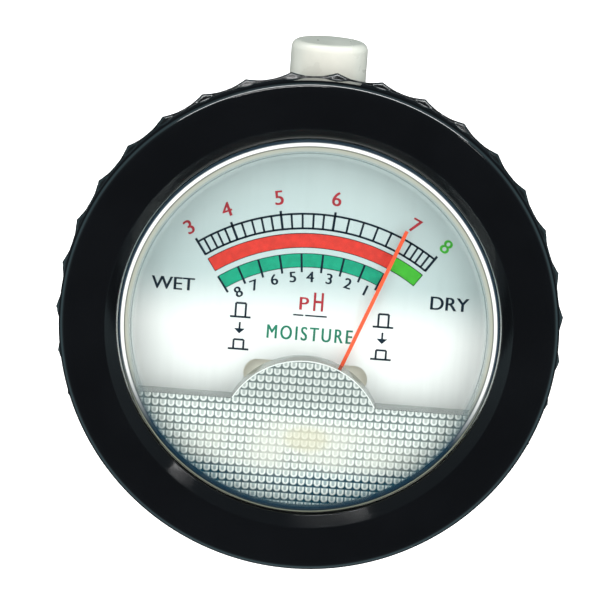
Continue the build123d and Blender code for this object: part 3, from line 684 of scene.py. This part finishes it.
class SOIL_OT_printing(bpy.types.Operator):
    """Bands, ladder, ticks, numerals, words and switch signs printed on the dial"""
    bl_idname = "soil.printing"
    bl_label = "Dial printing"

    # Angles clockwise from +Y in degrees, radii and widths in millimetres
    acid_steps = (-34.65, -32.74, -30.55, -28.59, -26.39, -24.14, -21.47, -18.59, -15.86,
                  -13.13, -10.40, -7.54, -4.48, -1.41, 1.46, 4.45, 8.48, 12.61, 16.72,
                  20.76, 24.63, 26.88, 29.01, 30.80, 32.88, 34.70)
    moisture_steps = (-34.89, -27.30, -19.97, -12.44, -4.92, 2.49, 9.77, 17.17, 24.44)
    seven = 20
    acid_band = (18.68, 17.26)
    moisture_band = (16.64, 15.28)
    moisture_end = 24.6
    outline_width = 0.07
    ladder_rails = (20.65, 19.18)
    ladder_ticks = (19.12, 20.68)
    major_tick_end = 21.05
    moisture_tick_start = 14.76
    fine_line = 0.20
    heavy_line = 0.24
    tick_line = 0.21
    # Numerals: their arc's radius and their height, and their angles from left to right
    acid_place, moisture_place = (22.38, 1.43), (14.30, 1.07)
    acid_angles = (-34.6, -24.05, -10.4, 4.3, 25.4, 34.9)
    moisture_angles = (-31.2, -24.25, -16.0, -8.57, -1.61, 5.99, 13.63, 21.17)
    # Lines under the acidity word's letters: their ends, their place along Y and their width
    underlines = ((-1.645, -0.64), (-0.45, 1.70))
    underline_y, underline_width = -0.36, 0.15
    # Signs of the button: its middle, its floor and top when raised, its top when pressed
    signs = ((-6.88, -0.99, 0.416, -3.31), (7.35, -0.97, 0.345, -3.34))
    pressed_floor, floor_reach, button_half = -4.27, 1.03, 0.5
    # The arrow between the two: its stem's ends and width, its head's top, tip and half width
    stem_top, stem_end, stem_width = -1.52, -2.20, 0.19
    head_top, head_tip, head_half = -2.17, -2.69, 0.54

    def polar(self, radius, angle):
        """Point on the dial at a radius in millimetres and degrees clockwise from +Y."""
        turn = math.radians(angle)
        return (self.centre.x + radius * MM * math.sin(turn),
                self.centre.y + radius * MM * math.cos(turn))

    def patch(self, bm, outline):
        """Thin raised patch over an outline, from the dial's top to the ink's top."""
        slab(bm, outline, DIAL_TOP, DIAL_TOP + self.ink)

    def band(self, bm, outer, inner, start, end):
        """Ring sector between two radii and two angles, in quads."""
        steps = max(1, round(abs(end - start)))
        angles = [start + (end - start) * k / steps for k in range(steps + 1)]
        (low_in, low_out), (high_in, high_out) = [
            [[bm.verts.new((*self.polar(radius, angle), z)) for angle in angles]
             for radius in (inner, outer)] for z in (DIAL_TOP, DIAL_TOP + self.ink)]
        for one, two in ((high_in, high_out), (low_in, low_out), (low_in, high_in),
                         (low_out, high_out)):
            strip(bm, one, two, closed=False)
        for k in (0, steps):
            bm.faces.new((low_in[k], high_in[k], high_out[k], low_out[k]))

    def rail(self, bm, radius, width, start, end):
        """Arc line of a width along a radius."""
        self.band(bm, radius + width / 2, radius - width / 2, start, end)

    def stroke(self, bm, start, end, width):
        """Straight line of a width in millimetres between two points in metres."""
        start, end = Vector(start), Vector(end)
        along = (end - start).normalized()
        side = Vector((-along.y, along.x)) * width * MM / 2
        self.patch(bm, [start - side, end - side, end + side, start + side])

    def drawn(self, bm, points, width):
        """Strokes through points in millimetres."""
        points = [(x * MM, y * MM) for x, y in points]
        for start, end in zip(points, points[1:]):
            self.stroke(bm, start, end, width)

    def tick(self, bm, inner, outer, angle, width):
        self.stroke(bm, self.polar(inner, angle), self.polar(outer, angle), width)

    def letters(self, text, height, width=None, spacing=1.0):
        """Mesh of a text, centred on its box, of a cap height and width in millimetres."""
        curve = bpy.data.curves.new("letters", "FONT")
        curve.body = text
        curve.resolution_u = 6
        curve.space_character = spacing
        temp = loose("letters", curve)
        bpy.context.view_layer.update()
        graph = bpy.context.evaluated_depsgraph_get()
        mesh = bpy.data.meshes.new_from_object(temp.evaluated_get(graph))
        bpy.data.objects.remove(temp)
        xs = [v.co.x for v in mesh.vertices]
        ys = [v.co.y for v in mesh.vertices]
        scale_y = height * MM / (max(ys) - min(ys))
        scale_x = width * MM / (max(xs) - min(xs)) if width else scale_y
        centre = Vector(((max(xs) + min(xs)) / 2, (max(ys) + min(ys)) / 2, 0))
        mesh.transform(Matrix.Diagonal((scale_x, scale_y, 1, 1)) @ Matrix.Translation(-centre))
        return self.thickened(mesh)

    def thickened(self, mesh):
        """Letters laid twice side by side, the second a little higher, for bolder uprights."""
        bold = bmesh.new()
        for side, lift in ((-0.5, 0.0), (0.5, 0.25)):
            step = Vector((side * self.weight, 0, lift * self.ink))
            mesh.transform(Matrix.Translation(step))
            bold.from_mesh(mesh)
            mesh.transform(Matrix.Translation(-step))
        bold.to_mesh(mesh)
        bold.free()
        return mesh

    def stamp(self, bm, mesh, x, y, angle=0.0):
        """Adds a letters mesh at a place, turned clockwise, as a thin raised print."""
        first_vert, first_face = len(bm.verts), len(bm.faces)
        bm.from_mesh(mesh)
        bpy.data.meshes.remove(mesh)
        verts = list(bm.verts)[first_vert:]
        place = Matrix.Translation((x, y, DIAL_TOP)) @ Matrix.Rotation(
            -math.radians(angle), 4, "Z")
        bmesh.ops.transform(bm, matrix=place, verts=verts)
        bmesh.ops.remove_doubles(bm, verts=verts, dist=1e-8)
        faces = list(bm.faces)[first_face:]
        raised = bmesh.ops.extrude_face_region(bm, geom=faces)
        top = [v for v in raised["geom"] if isinstance(v, bmesh.types.BMVert)]
        bmesh.ops.translate(bm, verts=top, vec=(0, 0, self.ink))

    def word(self, bm, text, size, place, spacing=1.0):
        """Word of a size (cap height, width) at a place, both in millimetres."""
        self.stamp(bm, self.letters(text, *size, spacing), place[0] * MM, place[1] * MM)

    def numerals(self, bm, texts, angles, radius, height):
        """Numerals round an arc, each turned to its angle."""
        for text, angle in zip(texts, angles):
            self.stamp(bm, self.letters(text, height), *self.polar(radius, angle), angle)

    @contextmanager
    def printed(self, name, material):
        """Gathers marks in one ink, then lays them on the dial under a name."""
        bm = bmesh.new()
        yield bm
        bmesh.ops.translate(bm, verts=bm.verts, vec=(0, self.rise, 0))
        piece(name, mesh_from(bm, name, 20), TESTER, [material])

    def execute(self, context):
        dial = context.scene.soil_dial
        self.centre = Vector((dial.centre_x, dial.centre_y))
        self.ink = dial.ink_height
        self.rise = dial.print_rise
        self.weight = dial.letter_weight
        navy = ink("ink_navy", dial.navy)
        self.print_bands(dial, navy)
        self.print_ladder(navy)
        self.print_numerals(dial, navy)
        self.print_words(dial, navy)
        self.print_signs(navy)
        return {"FINISHED"}

    def print_bands(self, dial, navy):
        first, last = self.acid_steps[0] - 0.1, self.acid_steps[-1] + 0.2
        seven = self.acid_steps[self.seven] + 0.2
        bands = (("band_red", "ink_red", dial.red, self.acid_band, first, seven),
                 ("band_green", "ink_green", dial.green, self.acid_band, seven, last),
                 ("band_teal", "ink_teal", dial.teal, self.moisture_band, -35.0,
                  self.moisture_end))
        for name, ink_name, colour, radii, start, end in bands:
            with self.printed(name, ink(ink_name, colour)) as bm:
                self.band(bm, *radii, start, end)
        with self.printed("band_outlines", navy) as bm:
            for radii, end in ((self.acid_band, last), (self.moisture_band, self.moisture_end)):
                for radius in radii:
                    self.rail(bm, radius, self.outline_width, first, end)
                for angle in (first, end):
                    self.tick(bm, radii[1], radii[0], angle, self.outline_width)

    def print_ladder(self, navy):
        with self.printed("ladder", navy) as bm:
            for radius in self.ladder_rails:
                self.rail(bm, radius, self.fine_line, self.acid_steps[0], self.acid_steps[-1])
            start, end = self.ladder_ticks
            for index, angle in enumerate(self.acid_steps):
                major = index % 5 == 0 and index != self.seven
                self.tick(bm, start, self.major_tick_end if major else end, angle,
                          self.heavy_line if major else self.fine_line)
        with self.printed("moisture_ticks", navy) as bm:
            for angle in self.moisture_steps:
                self.tick(bm, self.moisture_tick_start, self.moisture_band[0], angle,
                          self.tick_line)
            for vert in bm.verts:
                if vert.co.z > DIAL_TOP:
                    vert.co.z += self.ink / 2

    def print_numerals(self, dial, navy):
        with self.printed("acid_numerals", ink("ink_numeral_red", dial.numeral_red)) as bm:
            self.numerals(bm, "34567", self.acid_angles, *self.acid_place)
        with self.printed("alkaline_numeral", ink("ink_numeral_green", dial.green)) as bm:
            self.numerals(bm, "8", self.acid_angles[-1:], *self.acid_place)
        with self.printed("moisture_numerals", navy) as bm:
            self.numerals(bm, "87654321", self.moisture_angles, *self.moisture_place)

    def print_words(self, dial, navy):
        with self.printed("wet_dry_words", navy) as bm:
            self.word(bm, "WET", (1.277, 4.24), (-13.77, 1.92))
            self.word(bm, "DRY", (1.328, 3.78), (13.78, 1.87))
            for ends in self.underlines:
                self.drawn(bm, [(x, self.underline_y) for x in ends], self.underline_width)
        with self.printed("acidity_word", ink("ink_word_red", dial.numeral_red)) as bm:
            self.word(bm, "P", (1.28, 0.87), (-0.635, 0.84))
            self.word(bm, "H", (1.88, 0.92), (0.775, 1.10))
        with self.printed("moisture_word", ink("ink_word_green", dial.word_green)) as bm:
            self.word(bm, "MOISTURE", (1.41, 8.48), (0.13, -2.23), 1.3)

    def print_signs(self, navy):
        """Two signs of the button: raised, an arrow down, pressed."""
        with self.printed("switch_signs", navy) as bm:
            for middle, floor, raised_top, pressed_top in self.signs:
                left, right = middle - self.button_half, middle + self.button_half
                ends = (middle - self.floor_reach, middle + self.floor_reach)
                for bottom, top in ((floor, raised_top), (self.pressed_floor, pressed_top)):
                    self.drawn(bm, [(x, bottom) for x in ends], self.fine_line)
                    self.drawn(bm, ((left, bottom), (left, top), (right, top), (right, bottom)),
                               self.fine_line)
                self.drawn(bm, [(middle, y) for y in (self.stem_top, self.stem_end)],
                           self.stem_width)
                head = ((-self.head_half, self.head_top), (0, self.head_tip),
                        (self.head_half, self.head_top))
                self.patch(bm, [((middle + x) * MM, y * MM) for x, y in head])


class SOIL_OT_window(bpy.types.Operator):
    """Clear cup with a rounded edge in front of the dial"""
    bl_idname = "soil.window"
    bl_label = "Window"

    # Painted light and shade rings across the rounded edge, one set for the lit upper side and one
    # for the shaded lower side: (share of its width, red, green, blue, cover)
    round_width = 1.8
    lit_side_painted_rings = (
        (0.00, 0.60, 0.70, 0.68, 0.0), (0.18, 0.40, 0.48, 0.47, 0.25),
        (0.22, 0.06, 0.11, 0.11, 0.70), (0.28, 0.30, 0.36, 0.35, 0.45),
        (0.36, 0.34, 0.38, 0.34, 0.85), (0.52, 0.36, 0.37, 0.30, 0.92),
        (0.58, 0.04, 0.05, 0.04, 0.95), (0.65, 0.97, 0.99, 0.96, 1.0),
        (0.75, 0.98, 1.00, 0.98, 1.0), (0.82, 0.02, 0.04, 0.06, 0.97))
    shaded_side_painted_rings = (
        (0.00, 0.05, 0.14, 0.16, 0.0), (0.40, 0.02, 0.08, 0.11, 0.25),
        (0.60, 0.006, 0.025, 0.045, 0.90), (0.80, 0.008, 0.02, 0.03, 0.95),
        (0.86, 0.26, 0.28, 0.21, 1.0), (0.91, 0.24, 0.26, 0.20, 1.0),
        (0.96, 0.01, 0.015, 0.03, 0.95))

    def clear(self, tint):
        """Thin clear plastic: see-through, with a sheen that grows towards grazing."""
        finish = Finish("window_clear")
        gloss = finish.uneven(finish.noise(500, 4.0), 0.02, 0.05)
        return finish.surface(finish.sheen(gloss, finish.see_through(tint)))

    def rim(self, tint):
        """Edge of the window: painted rings of light and shade where the rounding bends the view,
        light on the upper side and dark on the lower.
        """
        finish = Finish("window_rim_painted_light")
        radius = finish.radius()
        inside = finish.math("SUBTRACT", radius, WINDOW_ROUND_START * MM)
        across = finish.math("MULTIPLY", inside, 1 / (self.round_width * MM))
        bright = finish.ramp(across, self.lit_side_painted_rings)
        dark = finish.ramp(across, self.shaded_side_painted_rings)
        # Painted light and shade: the upper side takes the light rings, the lower side the dark
        # ones
        upper = finish.between(finish.math("DIVIDE", finish.axis(1), radius), -0.62, -0.12)
        colour = finish.mixed(upper, dark[0], bright[0])
        lower = finish.math("SUBTRACT", 1.0, upper)
        cover = finish.math("ADD", finish.math("MULTIPLY", dark[1], lower),
                            finish.math("MULTIPLY", bright[1], upper))
        gloss = finish.uneven(finish.noise(700), 0.04, 0.09)
        body = finish.principled(colour, gloss)
        return finish.surface(finish.blend(cover, finish.see_through(tint), body))

    def execute(self, context):
        tint = tuple(context.scene.soil_window.tint)
        flange_top, flange_low, inner_wall, inner_depth = 2.4, 3.4, 18.6, 3.0
        corners = [
            (0, SLOPE_DEPTH, 0),
            (WINDOW_ROUND_START, SLOPE_DEPTH, 0),
            (WINDOW_EDGE, SLOPE_DEPTH, 1.1),
            (WINDOW_EDGE, flange_top, 0),
            (WINDOW_FLANGE, flange_top, 0.1),
            (WINDOW_FLANGE, flange_low, 0.1),
            (WINDOW_WALL, flange_low, 0.1),
            (WINDOW_WALL, DIAL_DEPTH, 0.1),
            (inner_wall, DIAL_DEPTH, 0.1),
            (inner_wall, inner_depth, 0.5),
            (0, inner_depth, 0),
        ]
        mesh = turned("window", profile(corners, 8, closed=False), 256, closed=False)
        piece("window", mesh, TESTER, [self.clear(tint), self.rim(tint)], ["lens"])
        for face in mesh.polygons:
            reach = math.hypot(face.center.x, face.center.y) / MM
            round_edge = WINDOW_ROUND_START < reach < WINDOW_EDGE
            if round_edge and face.center.z > level(flange_top + 0.05):
                face.material_index = 1
        return {"FINISHED"}


class SOIL_OT_prism(bpy.types.Operator):
    """Prismatic cover: a field of small square cells over the movement"""
    bl_idname = "soil.prism"
    bl_label = "Prismatic cover"

    # Shares of a cell's pitch where its relief starts, is full, ends, with the relief there
    cell_profile = ((0.04, 0), (0.26, 1), (0.74, 1), (0.96, 0))
    # The raised strip's section, coloured as a painted highlight: steps out from the hump and up
    # from the cover, in millimetres
    highlight_bead_section = ((-0.17, 0.0), (-0.15, 0.08), (-0.10, 0.11), (-0.05, 0.08), (-0.03, 0.0))
    arc_steps = 96
    # The cells' sheet: how far its base lies over the cover's top and its underside below it
    sheet_lift, sheet_sink = 0.02 * MM, 0.05 * MM
    # How far the sheet reaches past the round, and stays inside the edge and the hump
    round_overlap, edge_setback, hump_setback = 0.1, 0.05, 0.16
    # Shares of a cell: the painted highlight ring's radius, half width and softness, its open top,
    # the gaps
    highlight_ring = (0.29, 0.10, 0.06)
    open_top, side_gap, top_gap = (0.95, 0.78), (0.42, 0.49), (0.86, 0.97)
    # Centre and reach of the milky and of the warm patch, both in millimetres
    milky_patch = ((0, -12.6), (12.5, 3.3))
    warm_patch = ((0.6, -11.8), (2.6, 1.5))
    # Places along Y between which the cells darken, and between which they get less clear
    darkening = (-13.8 * MM, -15.6 * MM)
    thickening = (-7.5 * MM, -9.5 * MM)

    def cell_lines(self, low, high, pitch):
        """Grid lines between two places, with their relief share."""
        return [((index + share) * pitch, raised)
                for index in range(math.floor(low / pitch), math.ceil(high / pitch) + 1)
                for share, raised in self.cell_profile]

    def arc(self, radius, centre_y, start, end):
        """Points of an arc round a centre on the Y axis, in metres."""
        points = []
        for k in range(self.arc_steps + 1):
            angle = start + (end - start) * k / self.arc_steps
            points.append((radius * MM * math.cos(angle),
                           (centre_y + radius * math.sin(angle)) * MM))
        return points

    def outline(self, radius, edge, hump_radius):
        """Round segment below a straight edge, joined by the hump, from millimetres."""
        side = math.asin(edge / radius)
        rise = math.asin((edge - HUMP_Y) / hump_radius)
        return (self.arc(radius, 0, math.pi - side, math.tau + side)
                + self.arc(hump_radius, HUMP_Y, rise, math.pi - rise))

    def sheet(self, pitch, relief, under):
        """Mesh of a sheet of raised cells, larger than the cover's outline."""
        reach = PRISM_RADIUS * MM + pitch
        xs = self.cell_lines(-reach, reach, pitch)
        ys = self.cell_lines(-reach, (HUMP_Y + HUMP_RADIUS) * MM + pitch, pitch)
        base = COVER_TOP + self.sheet_lift
        bm = bmesh.new()
        grid = [[bm.verts.new((x, y, base + relief * min(fx, fy))) for x, fx in xs]
                for y, fy in ys]
        floor = [[bm.verts.new((x, y, under)) for x, fx in xs] for y, fy in ys]
        for rows in (grid, floor):
            for one, two in zip(rows, rows[1:]):
                strip(bm, one, two, closed=False)
        for index in (0, -1):
            strip(bm, grid[index], floor[index], closed=False)
            strip(bm, [row[index] for row in grid], [row[index] for row in floor], closed=False)
        return mesh_from(bm, "prism_cells", 10)

    def execute(self, context):
        window = context.scene.soil_window
        under = COVER_TOP - self.sheet_sink
        made = piece("prism_cells", self.sheet(window.cell, window.relief, under), TESTER,
                     [self.cell_finish(window.cell)])
        cutter = bmesh.new()
        slab(cutter, self.outline(PRISM_RADIUS + self.round_overlap,
                                  PRISM_EDGE - self.edge_setback,
                                  HUMP_RADIUS - self.hump_setback), under - MM, COVER_TOP + MM)
        cut(made, loose("prism_outline", mesh_from(cutter, "prism_outline")), "INTERSECT")
        made.data.polygons.foreach_set("use_smooth", [False] * len(made.data.polygons))
        self.highlight_bead()
        dress(["prism_cover"], self.wall_finish())
        return {"FINISHED"}

    def highlight_bead(self):
        """Raised strip along the hump's edge, near white: a painted highlight where the clear wall
        is seen edge-on.
        """
        rise = math.asin((PRISM_EDGE - HUMP_Y) / HUMP_RADIUS) + 0.01
        lines = [[(x, y, COVER_TOP + up * MM) for x, y in
                  self.arc(HUMP_RADIUS + out, HUMP_Y, rise, math.pi - rise)]
                 for out, up in self.highlight_bead_section]
        bm = bmesh.new()
        rings = [[bm.verts.new(point) for point in ring] for ring in zip(*lines)]
        for one, two in zip(rings, rings[1:]):
            strip(bm, one, two)
        bm.faces.new(rings[0])
        bm.faces.new(rings[-1][::-1])
        finish = Finish("prism_highlight_bead")
        marks = finish.noise(900)
        # Painted highlight: the strip's near-white tone
        tone = finish.mixed(marks, (0.80, 0.85, 0.83), (0.98, 1.0, 0.99))
        gloss = finish.uneven(marks, 0.08, 0.16)
        piece("prism_highlight_bead", mesh_from(bm, "prism_highlight_bead", 60), TESTER,
              [finish.surface(finish.principled(tone, gloss))])

    def wall_finish(self):
        """Smooth clear plastic of the cover's own walls, partly dark grey: painted shade for the
        dark lines where the walls are seen edge-on.
        """
        finish = Finish("prism_wall")
        gloss = finish.uneven(finish.noise(600), 0.06, 0.12)
        # Painted shade: a dark grey body showing over three tenths of the wall
        body = finish.principled(varied(finish, (0.16, 0.19, 0.19), 0.1, 300), gloss)
        shaded_veil = finish.blend(0.30, finish.see_through((0.97, 0.99, 0.985)), body)
        return finish.surface(finish.sheen(gloss, shaded_veil))

    def cell_marks(self, finish, x, y, pitch):
        """Masks of the painted highlight U in each cell and of the gaps between the cells."""
        u, v = (finish.math("FRACT", finish.math("DIVIDE", axis, pitch)) for axis in (x, y))
        off_u = finish.math("SUBTRACT", u, 0.5)
        off_v = finish.math("MINIMUM", finish.math("SUBTRACT", v, 0.50), 0.0)
        reach = finish.math("SQRT", finish.math("ADD", finish.math("MULTIPLY", off_u, off_u),
                                                finish.math("MULTIPLY", off_v, off_v)))
        bright = finish.math("MULTIPLY", finish.line(reach, *self.highlight_ring),
                             finish.between(v, *self.open_top))
        gap = finish.math("MAXIMUM", finish.between(reach, *self.side_gap),
                          finish.between(v, *self.top_gap))
        return bright, gap

    def cell_chance(self, finish, x, y, pitch):
        """A value of its own for each cell."""
        chance = finish.add("ShaderNodeTexWhiteNoise", noise_dimensions="2D")
        corner = finish.add("ShaderNodeCombineXYZ")
        for socket, axis in zip(corner.inputs, (x, y)):
            finish.link(finish.math("FLOOR", finish.math("DIVIDE", axis, pitch)), socket)
        finish.link(corner.outputs[0], chance.inputs["Vector"])
        return chance.outputs[0]

    def cell_finish(self, pitch):
        """Prismatic cells: a painted highlight U in each, darker heart and grid, milky in the
        middle.
        """
        finish = Finish("prism_cells")
        x, y = finish.axis(0), finish.axis(1)
        bright, gap = self.cell_marks(finish, x, y, pitch)
        chance = finish.between(self.cell_chance(finish, x, y, pitch), 0.0, 1.0, 0.0, 0.25)
        cloud = finish.noise(230)
        milky = finish.between(finish.ellipse(*self.milky_patch), 0.1, 1.15, 0.60, 0.0)
        milky = finish.math("MULTIPLY", milky, finish.between(cloud, 0.35, 0.6, 0.35, 1.0))
        patches = finish.between(finish.noise(110, 2.0, (1, 0.4, 1)), 0.36, 0.6, 0.45, 1.0)
        low = finish.math("MULTIPLY", finish.between(y, *self.darkening), patches)
        warm = finish.between(finish.ellipse(*self.warm_patch), 0.2, 1.2, 0.30, 0.0)
        heart = finish.mixed(low, (0.47, 0.53, 0.51), (0.32, 0.43, 0.45))
        heart = finish.mixed(chance, heart, (0.60, 0.65, 0.62))
        grid = finish.mixed(low, (0.17, 0.21, 0.21), (0.012, 0.055, 0.09))
        # Painted highlight: the U where each cell's slopes catch the light
        tone = finish.mixed(bright, heart, (0.90, 0.94, 0.92))
        tone = finish.mixed(gap, tone, grid)
        tone = finish.mixed(milky, tone, (0.74, 0.74, 0.66))
        tone = finish.mixed(warm, tone, (0.62, 0.55, 0.30))
        body = finish.principled(tone, finish.uneven(cloud, 0.12, 0.25))
        cover = finish.between(y, *self.thickening, 0.72, 0.95)
        return finish.surface(finish.blend(cover, finish.see_through((0.95, 0.98, 0.97)), body))


class SOIL_OT_probe(bpy.types.Operator):
    """Probe body, metal plates, pale ring and metal point"""
    bl_idname = "soil.probe"
    bl_label = "Probe"

    def execute(self, context):
        case = context.scene.soil_case
        plates = [f"electrode_plate_{k}" for k in (1, 2, 3)]
        finishes = (
            (plastic("probe_black", case.black, 0.30, 0.12), ["probe_body"]),
            (plastic("ring_pale", (0.80, 0.80, 0.74), 0.4, 0.08), ["insulator_ring"]),
            (metal("point_metal", (0.72, 0.73, 0.74), 0.2, (0.2, 0.2, 3.0), bare=0.45),
             ["metal_tip"]),
            (metal("plate_metal", (0.60, 0.60, 0.61), 0.28, (2.0, 2.0, 0.08), bare=0.45), plates),
        )
        for material, names in finishes:
            dress(names, material)
            for name in names:
                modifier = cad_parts[name].modifiers.new("smooth", "WEIGHTED_NORMAL")
                modifier.keep_sharp = True
        return {"FINISHED"}


class SOIL_OT_movement(bpy.types.Operator):
    """Finishes of the movement, switch and inner pieces"""
    bl_idname = "soil.movement"
    bl_label = "Movement and switch"

    def execute(self, context):
        dial = context.scene.soil_dial
        glowing_cream = plastic("base_cream", (0.80, 0.78, 0.68), 0.5, 0.15)
        # Painted light: the cream plastic glows a little, to brighten the deep, shaded slot seen
        # through the dial
        for node in glowing_cream.node_tree.nodes:
            if node.type == "BSDF_PRINCIPLED":
                node.inputs["Emission Color"].default_value = (0.80, 0.80, 0.72, 1)
                node.inputs["Emission Strength"].default_value = 0.18
        finishes = (
            (metal("brass_turned", (0.62, 0.42, 0.18), 0.3),
             ("dial_screws", "core_spacers", "balance_weights", "upper_jewel_screw",
              "lower_jewel_screw", "terminal_studs", "terminal_nuts")),
            (metal("steel_turned", (0.50, 0.50, 0.51), 0.25),
             ("pivot_staffs", "button_spring", "tie_rod", "rod_washer", "rod_nut")),
            (metal("soft_iron", (0.26, 0.26, 0.27), 0.45), ("yoke_ring",)),
            (metal("magnet", (0.14, 0.14, 0.15), 0.5), ("core_magnet",)),
            (metal("aluminium", (0.62, 0.63, 0.64), 0.35),
             ("upper_bridge", "lower_bridge", "coil_former")),
            (metal("bronze", (0.52, 0.30, 0.14), 0.3),
             ("upper_hairspring", "lower_hairspring", "fixed_contacts", "contact_bridge")),
            (metal("winding", (0.42, 0.13, 0.05), 0.38, (0.2, 0.2, 6.0), 0.5),
             ("coil_winding",)),
            (glowing_cream, ("meter_base",)),
            (plastic("switch_dark", (0.05, 0.05, 0.055), 0.5, 0.15), ("switch_body",)),
            (plastic("gasket_rubber", (0.015, 0.015, 0.016), 0.7, 0.3), ("lens_gasket",)),
            (plastic("resistor_tan", (0.50, 0.34, 0.18), 0.4, 0.1), ("shunt_resistor",)),
            (plastic("pointer_orange", dial.orange, 0.35, 0.05), ("pointer",)),
            (plastic("lead_black", (0.02, 0.02, 0.022), 0.4, 0.1), ("rod_lead",)),
            (plastic("lead_red", (0.45, 0.03, 0.02), 0.4, 0.1),
             ("plate_lead_1", "plate_lead_2", "plate_lead_3")),
        )
        for material, names in finishes:
            dress(names, material)
        return {"FINISHED"}


class SOIL_OT_stage(bpy.types.Operator):
    """Pale floor, soft lights and the camera"""
    bl_idname = "soil.stage"
    bl_label = "Stage"

    # Soft lights that no reflection shows: name and place in metres
    fills = (("fill_left", (-0.40, 0.1, 0.72)), ("fill_right", (0.40, 0.1, 0.72)),
             ("fill_front", (0.0, -0.36, 0.72)), ("fill_back", (0.0, 0.42, 0.72)))
    # Lights that only reflections show: name, azimuth and elevation in degrees, size, power
    reflectors = (("strip_top", 0, -3, (1.65, 0.08), 8.0), ("spark", 44, 10, (0.14, 0.014), 0.10),
                  ("slope_light", -13, 11, (0.42, 0.014), 0.9))
    reach = 0.9
    picture_shift = (-0.0142, 0.0525)
    sensor_width = 36.0
    # The floor in metres: half its side, its place under the tester's point, and the
    # distances between which its glow in reflections changes
    floor_half, floor_drop = 4.0, 0.0002
    floor_glow = (0.2, 0.5)

    def execute(self, context):
        stage = context.scene.soil_stage
        self.floor()
        self.sky(context.scene)
        for name, place in self.fills:
            self.softbox(name, place, (0.5, 0.5), 1.5).visible_glossy = False
        for name, azimuth, elevation, size, power in self.reflectors:
            turn, rise = math.radians(azimuth), math.radians(elevation)
            place = (self.reach * math.sin(turn) * math.cos(rise),
                     self.reach * math.cos(turn) * math.cos(rise),
                     FRONT + self.reach * math.sin(rise))
            self.softbox(name, place, size, power).visible_diffuse = False
        self.camera(context.scene, stage)
        context.scene.view_settings.view_transform = "Standard"
        return {"FINISHED"}

    def floor(self):
        """Pale floor, bright to the camera and dim in reflections, like flags round a table."""
        bm = bmesh.new()
        bmesh.ops.create_grid(bm, x_segments=2, y_segments=2, size=self.floor_half,
                              matrix=Matrix.Translation((0, 0, -self.floor_drop)))
        mesh = mesh_from(bm, "floor")
        finish = Finish("floor_pale")
        base = varied(finish, (0.86, 0.86, 0.86), 0.01, 8)
        seen = finish.principled(base, 0.9, 0.0, Emission_Color=(1, 1, 1, 1),
                                 Emission_Strength=0.62)
        far = finish.between(finish.radius(), *self.floor_glow)
        glow = finish.mixed(far, (0.02, 0.025, 0.03), (0.46, 0.74, 0.82))
        light = finish.add("ShaderNodeEmission")
        finish.link(glow, light.inputs[0])
        camera = finish.add("ShaderNodeLightPath").outputs["Is Camera Ray"]
        floor = loose("floor", mesh)
        mesh.materials.append(finish.surface(finish.blend(camera, light.outputs[0], seen)))

    def sky(self, scene):
        """Even light from all round, and a dim gradient in reflections."""
        air = Finish("studio", "worlds", "ShaderNodeOutputWorld", "Generated")
        gradient = air.ramp(air.axis(2), (
            (0.0, 0.30, 0.42, 0.45, 1), (0.10, 0.16, 0.21, 0.23, 1), (0.30, 0.04, 0.05, 0.06, 1),
            (1.0, 0.01, 0.012, 0.015, 1)))
        glossy = air.add("ShaderNodeLightPath").outputs["Is Glossy Ray"]
        back = air.add("ShaderNodeBackground")
        air.link(air.mixed(glossy, (0.8, 0.8, 0.8), gradient[0]), back.inputs[0])
        scene.world = air.surface(back.outputs[0])

    def softbox(self, name, place, size, power):
        """Rectangular light that faces the dial."""
        light = bpy.data.lights.new(name, "AREA")
        light.shape = "RECTANGLE"
        light.size, light.size_y = size
        light.energy = power
        lamp = bpy.data.objects.new(name, light)
        lamp.location = place
        aim = Vector((0, 0, FRONT)) - lamp.location
        lamp.rotation_mode = "QUATERNION"
        lamp.rotation_quaternion = aim.to_track_quat("-Z", "Y")
        bpy.context.scene.collection.objects.link(lamp)
        return lamp

    def camera(self, scene, stage):
        data = bpy.data.cameras.new("camera")
        data.lens = stage.lens
        data.sensor_width = self.sensor_width
        data.shift_x, data.shift_y = self.picture_shift
        camera = bpy.data.objects.new("camera", data)
        back = Vector((0, math.sin(stage.tilt), math.cos(stage.tilt)))
        up = Vector((0, math.cos(stage.tilt), -math.sin(stage.tilt)))
        turn = Matrix((up.cross(back), up, back)).transposed().to_4x4()
        turn = Matrix.Rotation(stage.roll, 4, back) @ turn
        camera.matrix_world = Matrix.Translation(
            Vector((0, 0, FRONT)) + back * stage.distance) @ turn
        scene.collection.objects.link(camera)
        scene.camera = camera


OPERATORS = (SOIL_OT_stage, SOIL_OT_bezel, SOIL_OT_grip, SOIL_OT_button, SOIL_OT_dial,
             SOIL_OT_printing, SOIL_OT_prism, SOIL_OT_window, SOIL_OT_probe, SOIL_OT_movement)


class SOIL_PT_panel(bpy.types.Panel):
    """Lists the tester's pieces and the stage"""
    bl_idname = "SOIL_PT_panel"
    bl_label = "Soil tester"
    bl_space_type = "VIEW_3D"
    bl_region_type = "UI"
    bl_category = "Soil tester"

    def draw(self, context):
        for operator in OPERATORS:
            self.layout.operator(operator.bl_idname)


CLASSES = tuple(kind for _, kind in SETTINGS) + OPERATORS + (SOIL_PT_panel,)


def register():
    for kind in CLASSES:
        bpy.utils.register_class(kind)
    for name, kind in SETTINGS:
        setattr(bpy.types.Scene, name, PointerProperty(type=kind))


def unregister():
    for name, _ in SETTINGS:
        delattr(bpy.types.Scene, name)
    for kind in reversed(CLASSES):
        bpy.utils.unregister_class(kind)


def main():
    register()
    for operator in OPERATORS:
        area, name = operator.bl_idname.split(".")
        getattr(getattr(bpy.ops, area), name)()


if __name__ == "__main__":
    main()
